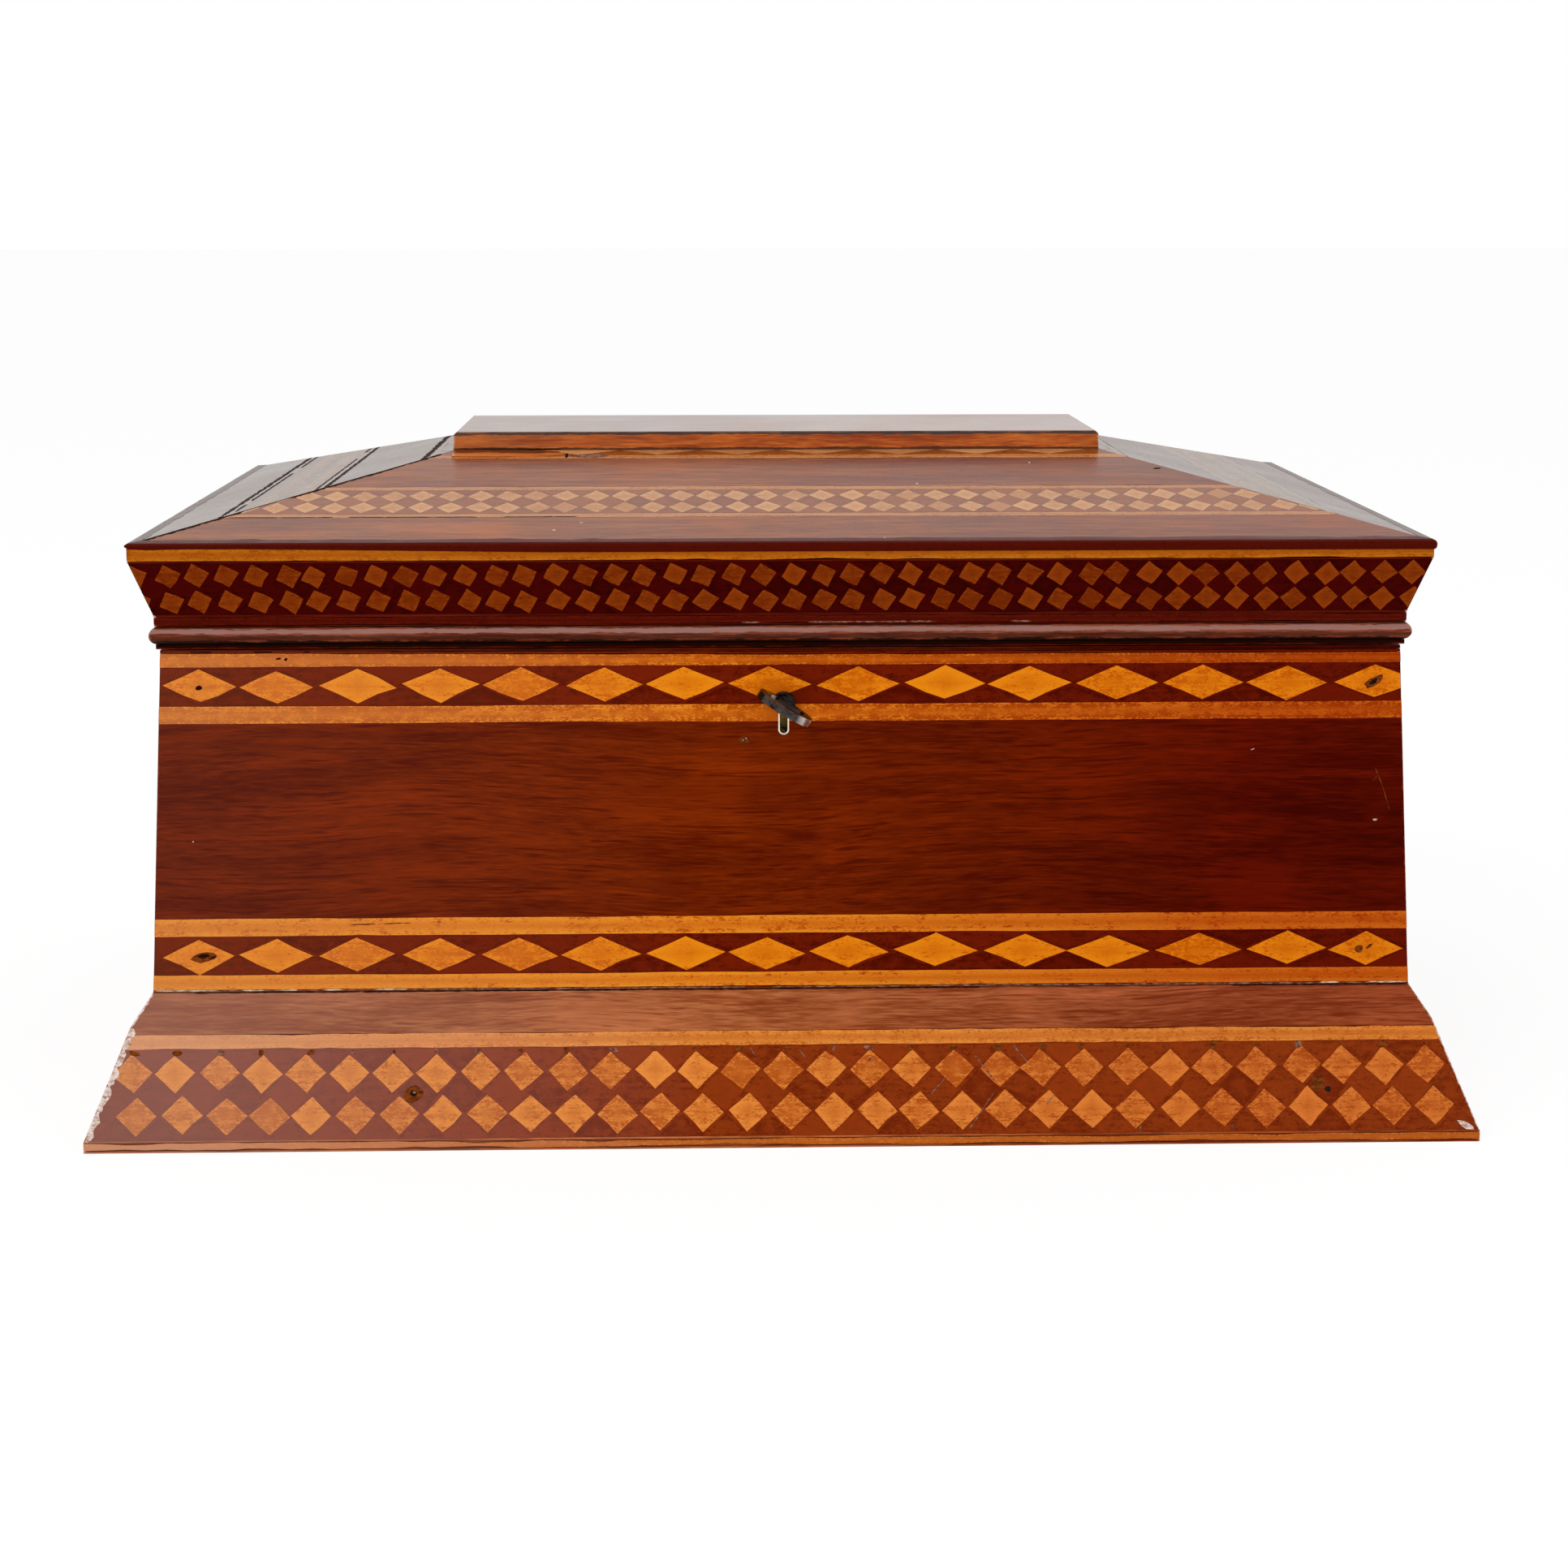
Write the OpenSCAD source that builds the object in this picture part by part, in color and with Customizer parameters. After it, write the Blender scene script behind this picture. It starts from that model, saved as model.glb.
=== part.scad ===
// Marquetry box: a sarcophagus-shaped wooden box with diamond and checker inlay,
// a hinged hipped lid with a flat top plate, a box lock with two bolt fingers, and its key.
// Millimetres. Origin at the middle of the underside, +X right, -Y front, +Z up.

/* [Box] */
// Width over the foot, left to right
foot_w = 340; // [310:5:370]
// Depth over the foot, front to back
foot_d = 230; // [210:5:250]
// Height of the plinth
plinth_h = 36; // [33:1:42]
// Height of the body above the plinth
body_h = 83.9; // [78:0.1:100]
// How far the foot stands out past the body on each side
foot_flare = 15.5; // [13:0.5:18]
// How far each side of the body leans in over its height
body_lean = 4.5; // [2:0.5:6]
// Thickness of the body boards at the rim
wall_t = 12; // [11.5:0.5:14]
// Thickness of the bottom board
bottom_t = 6; // [4:0.5:8]
// Height of the bottom board's underside
bottom_z = 4; // [3:0.5:8]
// Depth of the groove that holds the bottom board
groove = 4; // [3:0.5:5]
// Room left for the bottom board at the groove's end
panel_play = 0.3; // [0.2:0.1:0.8]
// Thickness of the paper linings
lining_t = 0.4; // [0.3:0.1:0.8]
// Room between the paper lining and the lock plate
lock_gap = 1; // [0.5:0.5:3]
// Bare wood between the linings and the rims
lining_margin = 3; // [2:0.5:8]

/* [Plinth] */
// Height of the upright edge at the foot
foot_edge = 2.6; // [2:0.2:4]
// How far the bevel's lower edge stands out past the body
bevel_out = 5; // [3:0.5:7]
// Height of the bevel along the plinth's top
bevel_h = 7.5; // [5:0.5:9]
// Depth of the rebate in the body that houses the plinth boards
plinth_seat = 4; // [3:0.5:5]

/* [Lid] */
// Open joint between body and lid
lid_gap = 0.4; // [0.3:0.1:0.6]
// Height of the lid's side, from its rim to the eave
lid_side_h = 25.7; // [25:0.5:30]
// How far the lid's rim stands out past the body
rim_out = 0.8; // [0.6:0.2:1.6]
// How far the eave stands out past the body
eave_out = 5.8; // [4.6:0.2:8]
// Height of the upright band at the eave
eave_h = 4; // [3.5:0.5:5]
// Height of the fillet above the bead
fillet_h = 2.4; // [2:0.2:3]
// Height of the half-round bead
bead_h = 4.4; // [3.6:0.2:5]
// How high the bead sits above the lid's rim
bead_up = 1.1; // [0.8:0.1:1.6]
// How far the bead stands out past the lid's rim
bead_out = 1.4; // [1:0.2:1.8]
// Depth of the groove that the bead is glued into
bead_seat = 1.3; // [1:0.1:2]
// Rise of the sloping panels from the eave to the top plate
slope_rise = 16; // [12:1:20]
// Thickness of the sloping panels
slope_t = 8; // [6:0.5:9]
// Depth of the top plate, front to back
plate_d = 58.5; // [52:0.5:64]
// Thickness of the top plate
plate_t = 4.7; // [4:0.1:7]
// Width of the ledge that carries the top plate
plate_seat = 10; // [8:1:14]
// Chamfer on the top plate's upper arris
plate_chamfer = 0.8; // [0.4:0.2:1.4]
// Length of the fillet under the plate's front edge that is still there
plate_fillet_left = 29; // [20:1:50]
// Width of the fillet under the plate
plate_fillet_w = 1.6; // [1:0.2:2.4]
// Height of that fillet above the slope's top
plate_fillet_h = 1.3; // [1:0.1:2]

/* [Inlay] */
// Depth of all inlay
inlay_t = 0.8; // [0.6:0.1:1.2]
// Dark margin between an inlaid row and the corner
row_margin = 1; // [0.8:0.1:2]
// Gap between the tips of neighbouring lozenges
tip_gap = 0.8; // [0.5:0.1:1.5]
// Open line at the mitres of strings, bands and linings
mitre_gap = 0.05; // [0.02:0.01:0.1]
// Dark margin between a band and the arris or string beside it
band_margin = 0.4; // [0.3:0.1:0.6]
// Width of the light strings on the body
body_string = 3.2; // [2:0.2:3.6]
// Width of the dark band between the body strings
body_band = 9.6; // [8.6:0.2:11]
// Margin between the body's strings and its top or bottom edge
body_edge = 0.8; // [0.5:0.1:2]
// Spacing of the long diamonds
diamond_pitch = 20.3; // [16:0.1:25]
// Height of the long diamonds
diamond_h = 7.6; // [6:0.2:8]
// Width of the plinth's light string
plinth_string = 3.7; // [2:0.1:4]
// Margin between the plinth's string and the bevel
plinth_edge = 1.8; // [1:0.2:2.6]
// Spacing of the plinth's lozenges
plinth_pitch = 10.5; // [9:0.1:13]
// Height of the plinth's lozenges
plinth_lozenge_h = 9.2; // [8:0.2:9.6]
// Height of one row of plinth lozenges
plinth_row = 9.9; // [9.8:0.1:10.2]
// Width of the string at the eave
eave_string = 2.2; // [1.4:0.2:2.6]
// Spacing of the lid side's lozenges
cove_pitch = 7; // [6:0.1:9]
// Height of the lid side's lozenges
cove_lozenge_h = 6.1; // [5:0.1:6.3]
// Height of one row of lid side lozenges
cove_row = 6.8; // [6.6:0.1:6.9]
// Distance from the eave to the slope's lower string
slope_margin = 19.6; // [15:0.2:24]
// Width of the strings on the slope
slope_string = 2.6; // [2:0.1:3]
// Spacing of the slope's lozenges
slope_pitch = 7.1; // [6:0.1:9]
// Height of the slope's lozenges
slope_lozenge_h = 7.8; // [6:0.1:8.4]
// Height of one row of slope lozenges
slope_row = 8.8; // [8.6:0.1:9.4]
// Width of the band of half diamonds under the top plate
crown_band = 4.4; // [3.8:0.2:5]
// Width of the string below that band
crown_string = 2.8; // [2:0.2:3]

/* [Nails] */
// Diameter of the nails
nail_d = 1.6; // [1.2:0.2:2.4]
// Length of the nails
nail_l = 22; // [18:1:26]
// Left plinth nail, left of the middle
plinth_nail_left = 91; // [60:1:110]
// Right plinth nail, right of the middle
plinth_nail_right = 133; // [100:1:138]
// Plinth nails on the short sides, each way from the middle
plinth_nail_side = 55; // [30:1:80]
// Height of the plinth nails up the sloping face
plinth_nail_up = 10.6; // [8:0.2:14]

/* [Lock] */
// Depth of the keyhole's centre below the body's rim
key_drop = 13.2; // [13:0.1:14]
// Diameter of the keyhole
keyhole_d = 5; // [5:0.1:6]
// Width of the keyhole's slot
keyhole_slot = 2.6; // [2.5:0.1:3]
// Depth of the keyhole's slot below its centre
keyhole_drop = 8; // [8:0.1:9]
// Thickness of the keyhole's metal lining
keyhole_lining_t = 0.35; // [0.25:0.05:0.45]
// Width of the ears that hold the lock plate's screws, at each side of the case
lock_ear = 6.5; // [6:0.5:12]
// Height of the lock plate
lock_h = 34; // [30:1:44]
// Thickness of the lock's and the link's plates
lock_plate_t = 1.4; // [1:0.1:1.6]
// Wood left in front of the lock case
lock_skin = 2.9; // [2:0.1:3]
// Thickness of the lock case's sheet
case_t = 0.8; // [0.6:0.1:1]
// Room under the key's bit inside the lock case
case_room = 2; // [1:0.5:4]
// Half the distance between the two link loops
loop_x = 17; // [16.5:0.5:19]
// Thickness of a loop, across the box
loop_t = 2.2; // [1.8:0.1:2.4]
// Width of a loop, front to back
loop_w = 4.6; // [4.4:0.1:5]
// How far a loop reaches below the lid's rim
loop_drop = 6.9; // [6.7:0.1:7]
// Thickness of the bolt
bolt_t = 1.8; // [1.4:0.1:2]
// Travel of the bolt
bolt_travel = 5; // [4.6:0.1:5.2]
// Room round a loop in the lock's rim plate, and between a finger's tip and its loop
link_clear = 0.5; // [0.4:0.05:0.7]
// Room between the bolt and what it passes
bolt_clear = 0.4; // [0.3:0.05:0.5]
// Height of the bolt's fingers
finger_h = 2.2; // [1.8:0.1:2.3]

/* [Key] */
// Diameter of the key's shank
key_shank_d = 3.8; // [3.4:0.1:4]
// Reach of the key's bit from its axis
key_bit_r = 6.5; // [6:0.1:7.6]
// Width of the key's bit along the shank
key_bit_w = 4; // [3:0.1:4.4]
// Thickness of the key's bit
key_bit_t = 1.5; // [1.2:0.1:1.6]
// Diameter of the lock's pin that the pipe of the key turns on
key_pin_d = 2; // [1.6:0.1:2.2]
// Running room between that pin and the key's pipe, all round
key_slack = 0.05; // [0.02:0.01:0.08]
// Room between the key and what it passes in the lock
key_play = 0.5; // [0.3:0.1:0.8]
// Thickness of the key's collar
key_collar = 1.2; // [0.8:0.1:1.6]
// Width of the bow's rim
bow_rim = 2.2; // [1.6:0.1:3]
// Breadth of the key's bow
bow_w = 14.5; // [11:0.5:18]
// Length of the key's bow
bow_l = 11.5; // [9:0.5:20]
// Thickness of the key's bow
bow_t = 1.9; // [1.5:0.1:2.4]
// Turn of the key from upright, as it was left in the lock
key_turn = 59; // [50:1:70]

/* [Hinges] */
// Distance of each hinge from the middle
hinge_x = 95; // [70:1:100]
// Length of each hinge
hinge_l = 45; // [40:1:60]
// Depth of a hinge leaf in the rim
leaf_w = 9.5; // [8.5:0.5:10]
// Thickness of a hinge leaf
leaf_t = 1.1; // [0.9:0.1:1.3]
// Diameter of the hinge knuckle
knuckle_d = 3.6; // [3.2:0.1:3.6]
// Distance of the hinge pin behind the body's back
pin_out = 1.9; // [1.9:0.1:2.2]
// Open line between neighbouring knuckles
knuckle_gap = 0.2; // [0.1:0.05:0.4]
// Running room between the pin and the lid's knuckle, all round
pin_slack = 0.05; // [0.02:0.01:0.08]
// Diameter of the hinge pin
hinge_pin_d = 1.6; // [1.2:0.1:1.8]
// Length of all screws
screw_l = 8; // [6:0.5:9]
// Diameter of the screws
screw_d = 2; // [1.6:0.1:2.2]
// Diameter of the screws' heads
screw_head_d = 4; // [3.2:0.1:4]

/* [Hidden] */
$fn = 48;
eps = 0.01;
core = (foot_w - foot_d) / 2;
far = foot_w;
past = 1;
sides = [0, 1, 2, 3];

foot_o = foot_d / 2;
body_o = foot_o - foot_flare;
top_o = body_o - body_lean;
seat_o = body_o - plinth_seat;
inner_o = top_o - wall_t;
body_z = plinth_h + body_h;
board_z = 1;

foot_low = [foot_o, 0];
foot_top = [foot_o, foot_edge];
bevel_low = [body_o + bevel_out, plinth_h - bevel_h];
body_low = [body_o, plinth_h];
body_top = [top_o, body_z];

rim_z = body_z + lid_gap;
rim_o = top_o + rim_out;
bead_z = rim_z + bead_up;
fillet_z = bead_z + bead_h;
cove_z = fillet_z + fillet_h;
eave_z = rim_z + lid_side_h;
eave_o = top_o + eave_out;
plate_o = plate_d / 2;
plate_z = eave_z + slope_rise;
fillet_o = rim_o + band_margin / 2;
fillet_low = [fillet_o, fillet_z];
cove_low = [fillet_o, cove_z];
cove_top = [eave_o, eave_z - eave_h];
eave = [eave_o, eave_z];
crown = [plate_o, plate_z];
slope_tan = slope_rise / (eave_o - plate_o);
slope_len = norm(crown - eave);
slope_drop = slope_t * slope_len / (eave_o - plate_o);
ledge_o = plate_o - plate_seat;
function under_slope(o) = eave_z + (eave_o - o) * slope_tan - slope_drop;

plinth_len = norm(bevel_low - foot_top);
plinth_string_y = plinth_len - plinth_edge - plinth_string;
plinth_middle = (band_margin + plinth_string_y) / 2 - band_margin;
body_len = norm(body_top - body_low);
body_group = 2 * body_string + body_band;
lower_y = body_edge / 2;
upper_y = body_len - body_edge - body_group;
cove_len = norm(cove_top - cove_low);
cove_band_y = [band_margin, cove_len - band_margin];
cove_middle = (cove_band_y[0] + cove_band_y[1]) / 2;
slope_band_y = slope_margin + slope_string;
slope_band_h = 2 * slope_row + 1.5 * band_margin;
crown_y = slope_len - crown_band;

pin_o = top_o + pin_out;
pin_z = body_z + lid_gap / 2;

lock_o = inner_o;
case_o = lock_o + lock_plate_t;
case_front = top_o - lock_skin;
key_z = body_z - key_drop;
case_low = key_z - key_bit_r - case_room;
rim_plate_w = case_front - lock_o + case_t;
loop_o = (case_o + case_front - case_t) / 2;
loop_low = rim_z - loop_drop;
loop_wall = loop_t / 2;
finger_z = loop_low + loop_wall + bolt_clear;
at_rest = bolt_travel * key_turn / 360;
finger_tip = loop_t / 2 + link_clear;
finger_post = loop_t / 2 + bolt_clear + bolt_travel - at_rest;
post_w = 2.4;
bar_z = loop_low - bolt_clear;
bar_h = finger_h;
rest_l = 3;
rest_t = 1;
rest_gap = 0.1;
case_x = loop_x + finger_post + post_w + at_rest + 2 * case_t;
lock_l = 2 * (case_x + lock_ear);
ear_x = case_x + lock_ear / 2;

mahogany = "#6b2412";
rosewood = "#3a120c";
boxwood = "#d98a2b";
deal = "#b98a55";
brass_tone = "#b8923f";
steel_tone = "#4b4642";
paper_tone = "#b9a98c";

// Half the length of a side's straight core: the long sides carry it, the short sides have none.
function half_core(s) = s % 2 == 0 ? core : 0;

// Turns the front's own frame, outward along -Y, to side s: front, right, back, left.
module at_side(s) {
    translate([s == 1 ? core : s == 3 ? -core : 0, 0, 0])
        rotate([0, 0, 90 * s])
            children();
}

// The part of the front's frame between its two upright mitre planes, each held back by a gap.
module wedge(s, gap = 0) {
    h = half_core(s) - gap;
    translate([0, 0, -1])
        linear_extrude(height = 2 * plate_z)
            polygon([[-h - past, -past], [h + past, -past], [h + far, -far], [-h - far, -far]]);
}

// A profile drawn as distance from the core and height, run along the front's frame.
module run(length = 2 * far) {
    rotate([90, 0, -90])
        linear_extrude(height = length, center = true)
            children();
}

// A mitred run of one profile along side s.
module mitred(s, gap = 0) {
    at_side(s)
        intersection() {
            run() children();
            wedge(s, gap);
        }
}

// The plane of the face between profile points a and b: X along the side, Y up the face.
module on_face(a, b) {
    translate([0, -a[0], a[1]])
        rotate([atan2(b[1] - a[1], a[0] - b[0]), 0, 0])
            children();
}

// A slab along the face a-b, from y0 to y1 up the face, of the inlay's depth and rising over it.
module slab(a, b, y0, y1, over) {
    on_face(a, b) translate([-far, y0, -inlay_t]) cube([2 * far, y1 - y0, inlay_t + over]);
}

// A strip let into the face a-b of side s, mitred at the corners.
module strip(s, a, b, y0, y1) {
    at_side(s)
        intersection() {
            slab(a, b, y0, y1, 0);
            wedge(s, mitre_gap);
        }
}

// The channel that takes a strip, cut right along side s.
module channel(s, a, b, y0, y1) {
    at_side(s) slab(a, b, y0, y1, inlay_t);
}

// Half the face's run at height y up the face.
function half_run(s, a, b, y) = half_core(s) + a[0] + (b[0] - a[0]) * y / norm(b - a) - row_margin;
function row_count(s, a, b, y, pitch) = round(2 * half_run(s, a, b, y) / pitch);
function row_pitch(s, a, b, y, pitch) = 2 * half_run(s, a, b, y) / row_count(s, a, b, y, pitch);
function row_x(s, a, b, y, pitch, i) =
    -half_run(s, a, b, y) + (i + 0.5) * row_pitch(s, a, b, y, pitch);

module lozenge(w, h) {
    polygon([[-w / 2, 0], [0, -h / 2], [w / 2, 0], [0, h / 2]]);
}

// One row of lozenges drawn flat on the face a-b of side s.
module row(s, a, b, y, pitch, h) {
    w = row_pitch(s, a, b, y, pitch) - tip_gap;
    for (i = [0 : row_count(s, a, b, y, pitch) - 1])
        translate([row_x(s, a, b, y, pitch, i), y]) lozenge(w, h);
}

// Raises a flat drawing on the face a-b of side s to the thickness of the inlay.
module veneer(s, a, b) {
    at_side(s) on_face(a, b) translate([0, 0, -inlay_t]) linear_extrude(height = inlay_t) children();
}

// A dark strip from y0 to y1 with openings for the lozenges that are drawn as children.
module pierced_strip(s, a, b, y0, y1) {
    at_side(s)
        intersection() {
            on_face(a, b)
                translate([0, 0, -inlay_t])
                    linear_extrude(height = inlay_t)
                        difference() {
                            translate([-far, y0]) square([2 * far, y1 - y0]);
                            children();
                        }
            wedge(s, mitre_gap);
        }
}

// Body inlay: two groups, each a dark band of long diamonds between two light strings.
function group_y(g) = g == 0 ? lower_y : upper_y;
function diamond_y(g) = group_y(g) + body_string + body_band / 2;

module body_row(s, g) {
    row(s, body_low, body_top, diamond_y(g), diamond_pitch, diamond_h);
}

module body_channels() {
    for (s = sides, g = [0, 1])
        channel(s, body_low, body_top, group_y(g), group_y(g) + body_group);
}

// Nails driven square to a face at the places x, y up the face.
module nails(s, a, b, places) {
    at_side(s)
        on_face(a, b)
            for (p = places)
                translate([p[0], p[1], -nail_l]) cylinder(h = nail_l, d = nail_d);
}

module corner_nail_set() {
    for (s = [0, 2], g = [0, 1]) {
        x = row_x(s, body_low, body_top, diamond_y(g), diamond_pitch, 0);
        nails(s, body_low, body_top, [[x, diamond_y(g)], [-x, diamond_y(g)]]);
    }
}

module plinth_nail_set(s) {
    places = s % 2 == 0 ? [-plinth_nail_left, plinth_nail_right] : [-plinth_nail_side, plinth_nail_side];
    nails(s, foot_top, bevel_low, [for (x = places) [x, plinth_nail_up]]);
}

// A countersunk screw pointing along +Z with its head's face at z = 0.
module screw(length = screw_l) {
    cylinder(h = length, d = screw_d);
    cylinder(h = (screw_head_d - screw_d) / 2, d1 = screw_head_d, d2 = screw_d);
}

module hinge_screw_places() {
    for (m = [-1, 1], x = [-1, 0, 1])
        translate([m * hinge_x + x * hinge_l / 3, top_o - leaf_w / 2, 0]) children();
}

// Keyhole drawn in the front's frame, grown by g all round, and run through the front.
module keyhole(g, from_o, to_o) {
    translate([0, -from_o, key_z])
        rotate([90, 0, 0])
            linear_extrude(height = to_o - from_o) {
                circle(d = keyhole_d + 2 * g);
                translate([-keyhole_slot / 2 - g, -keyhole_drop - g + keyhole_slot / 2 + g])
                    square([keyhole_slot + 2 * g, keyhole_drop - keyhole_slot / 2]);
                translate([0, -keyhole_drop + keyhole_slot / 2])
                    circle(d = keyhole_slot + 2 * g);
            }
}

module keyhole_cut() {
    keyhole(0, case_front - case_t - past, foot_o);
}

// Recess in the front board for the lock's plate, rim plate and case.
module lock_recess() {
    translate([-lock_l / 2, -case_o, body_z - lock_h]) cube([lock_l, lock_plate_t + eps, lock_h + past]);
    translate([-lock_l / 2, -lock_o - rim_plate_w, body_z - lock_plate_t])
        cube([lock_l, rim_plate_w + eps, lock_plate_t + past]);
    translate([-case_x, -case_front, case_low])
        cube([2 * case_x, case_front - lock_o + eps, body_z - case_low]);
}

module lock_screw_set() {
    for (m = [-1, 1]) {
        translate([m * ear_x, -lock_o - rim_plate_w / 2, body_z])
            rotate([180, 0, 0]) screw();
        translate([m * ear_x, -lock_o, (body_z - lock_h + case_low) / 2])
            rotate([90, 0, 0]) screw();
    }
}

module link_screw_set() {
    for (m = [-1, 0, 1])
        translate([m * ear_x, -lock_o - rim_plate_w / 2, rim_z])
            screw();
}

// The groove and the board that closes the box below.
module bottom_panel(reach) {
    translate([-core - inner_o - reach, -inner_o - reach, bottom_z])
        cube([2 * (core + inner_o + reach), 2 * (inner_o + reach), bottom_t]);
}

module wall_profile() {
    polygon([[inner_o, board_z], [seat_o, board_z], [seat_o, plinth_h], body_low, body_top,
             [inner_o, body_z]]);
}

// The whole body seen from the front, used to trim the long boards' ends to the sides' faces.
module body_outline() {
    half = [[core + seat_o, board_z], [core + seat_o, plinth_h], [core + body_o, plinth_h],
            [core + top_o, body_z]];
    polygon(concat(half, [for (i = [3 : -1 : 0]) [-half[i][0], half[i][1]]]));
}

module long_board(s) {
    difference() {
        intersection() {
            at_side(s) run() wall_profile();
            rotate([90, 0, 0]) linear_extrude(height = 2 * far, center = true) body_outline();
        }
        bottom_panel(groove);
        body_channels();
        corner_nail_set();
        plinth_nail_set(s);
    }
}

module short_board(s) {
    difference() {
        at_side(s) run(2 * inner_o) wall_profile();
        bottom_panel(groove);
        body_channels();
        corner_nail_set();
        plinth_nail_set(s);
    }
}

module plinth_board(s) {
    difference() {
        mitred(s)
            polygon([[seat_o, 0], foot_low, foot_top, bevel_low, body_low, [seat_o, plinth_h]]);
        channel(s, foot_low, foot_top, band_margin, foot_edge);
        channel(s, foot_top, bevel_low, band_margin, plinth_string_y + plinth_string);
        plinth_nail_set(s);
    }
}

module plinth_rows(s) {
    for (m = [-1, 1])
        row(s, foot_top, bevel_low, plinth_middle + m * plinth_row / 2, plinth_pitch, plinth_lozenge_h);
}

module front_board() {
    color(mahogany)
        difference() {
            long_board(0);
            lock_recess();
            keyhole(0, case_front - past, foot_o);
            lock_screw_set();
        }
}

module back_board() {
    color(mahogany)
        difference() {
            long_board(2);
            leaf_recess(body_z - leaf_t, leaf_t + past);
            hinge_screws_down();
        }
}

module left_board() { color(mahogany) short_board(3); }
module right_board() { color(mahogany) short_board(1); }
module bottom_board() { color(deal) bottom_panel(groove - panel_play); }
module plinth_front() { color(mahogany) plinth_board(0); }
module plinth_right() { color(mahogany) plinth_board(1); }
module plinth_back() { color(mahogany) plinth_board(2); }
module plinth_left() { color(mahogany) plinth_board(3); }

module body_strings() {
    color(boxwood)
        difference() {
            for (s = sides, g = [0, 1], u = [0, body_string + body_band])
                strip(s, body_low, body_top, group_y(g) + u, group_y(g) + u + body_string);
            keyhole_cut();
            leaf_recess(body_z - leaf_t, leaf_t + past);
        }
}

module body_band_grounds() {
    color(rosewood)
        difference() {
            for (s = sides, g = [0, 1])
                pierced_strip(s, body_low, body_top, group_y(g) + body_string,
                              group_y(g) + body_string + body_band)
                    body_row(s, g);
            keyhole_cut();
        }
}

module body_diamonds() {
    color(boxwood)
        difference() {
            for (s = sides, g = [0, 1]) veneer(s, body_low, body_top) body_row(s, g);
            keyhole_cut();
            corner_nail_set();
        }
}

module plinth_strings() {
    color(boxwood)
        for (s = sides) {
            strip(s, foot_low, foot_top, band_margin, foot_edge);
            strip(s, foot_top, bevel_low, plinth_string_y, plinth_string_y + plinth_string);
        }
}

module plinth_band_grounds() {
    color(rosewood)
        difference() {
            for (s = sides)
                pierced_strip(s, foot_top, bevel_low, band_margin, plinth_string_y) plinth_rows(s);
            for (s = sides) plinth_nail_set(s);
        }
}

module plinth_lozenges() {
    color(boxwood)
        difference() {
            for (s = sides) veneer(s, foot_top, bevel_low) plinth_rows(s);
            for (s = sides) plinth_nail_set(s);
        }
}

module corner_nails() { color(steel_tone) corner_nail_set(); }
module plinth_nails() { color(steel_tone) for (s = sides) plinth_nail_set(s); }

module box_lining() {
    floor_z = bottom_z + bottom_t;
    wall_top = body_z - lining_margin;
    color(paper_tone)
        difference() {
            translate([-core - inner_o, -inner_o, floor_z])
                cube([2 * (core + inner_o), 2 * inner_o, wall_top - floor_z]);
            translate([-core - inner_o + lining_t, -inner_o + lining_t, floor_z + lining_t])
                cube([2 * (core + inner_o - lining_t), 2 * (inner_o - lining_t), body_h + plinth_h]);
            translate([-lock_l / 2 - lock_gap, -inner_o - past, body_z - lock_h - lock_gap])
                cube([lock_l + 2 * lock_gap, 2 * past + lining_t, lock_h + lock_gap + past]);
        }
}

module keyhole_lining() {
    color(brass_tone)
        difference() {
            intersection() {
                keyhole(0, case_front, foot_o);
                run() wall_profile();
            }
            keyhole(-keyhole_lining_t, case_front - past, foot_o);
        }
}

// A ledge that stands off the lock's back plate just under the bolt.
module bolt_rest(x, under) {
    reach = case_front - case_t - case_o - rest_gap;
    translate([x, -case_o - reach, under - rest_gap - rest_t]) cube([rest_l, reach, rest_t]);
}

// Back plate and rim plate in one bent sheet, with the key's pin and the bolt's two rests.
module lock_plate() {
    rest_x = loop_x + finger_tip - at_rest;
    color(brass_tone)
        difference() {
            union() {
                translate([-lock_l / 2, -case_o, body_z - lock_h])
                    cube([lock_l, lock_plate_t, lock_h]);
                translate([-lock_l / 2, -lock_o - rim_plate_w, body_z - lock_plate_t])
                    cube([lock_l, rim_plate_w, lock_plate_t]);
                translate([0, -case_o + eps, key_z])
                    rotate([90, 0, 0]) cylinder(h = case_front - case_o, d = key_pin_d);
                bolt_rest(rest_x - rest_l, bar_z - bar_h);
                bolt_rest(-rest_x + rest_l, finger_z);
            }
            for (m = [-1, 1])
                translate([m * loop_x - loop_t / 2 - link_clear, -loop_o - loop_w / 2 - link_clear,
                           body_z - lock_plate_t - past])
                    cube([loop_t + 2 * link_clear, loop_w + 2 * link_clear, lock_plate_t + 2]);
            lock_screw_set();
        }
}

module lock_case() {
    color(brass_tone)
        difference() {
            translate([-case_x, -case_front, case_low])
                cube([2 * case_x, case_front - case_o, body_z - lock_plate_t - case_low]);
            translate([-case_x + case_t, -case_front + case_t, case_low + case_t])
                cube([2 * (case_x - case_t), case_front - case_o, body_z]);
            keyhole(0, case_front - 2 * case_t, foot_o);
        }
}

module lock_screws() { color(brass_tone) lock_screw_set(); }

// The recess for the hinge leaves in the box's or the lid's back rim.
module leaf_recess(z, h) {
    for (m = [-1, 1])
        translate([m * hinge_x - hinge_l / 2, top_o - leaf_w, z])
            cube([hinge_l, leaf_w + foot_flare, h]);
}

module hinge_screws_down() {
    translate([0, 0, body_z]) hinge_screw_places() rotate([180, 0, 0]) screw();
}

module hinge_screws_up() {
    translate([0, 0, rim_z]) hinge_screw_places() screw();
}

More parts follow.
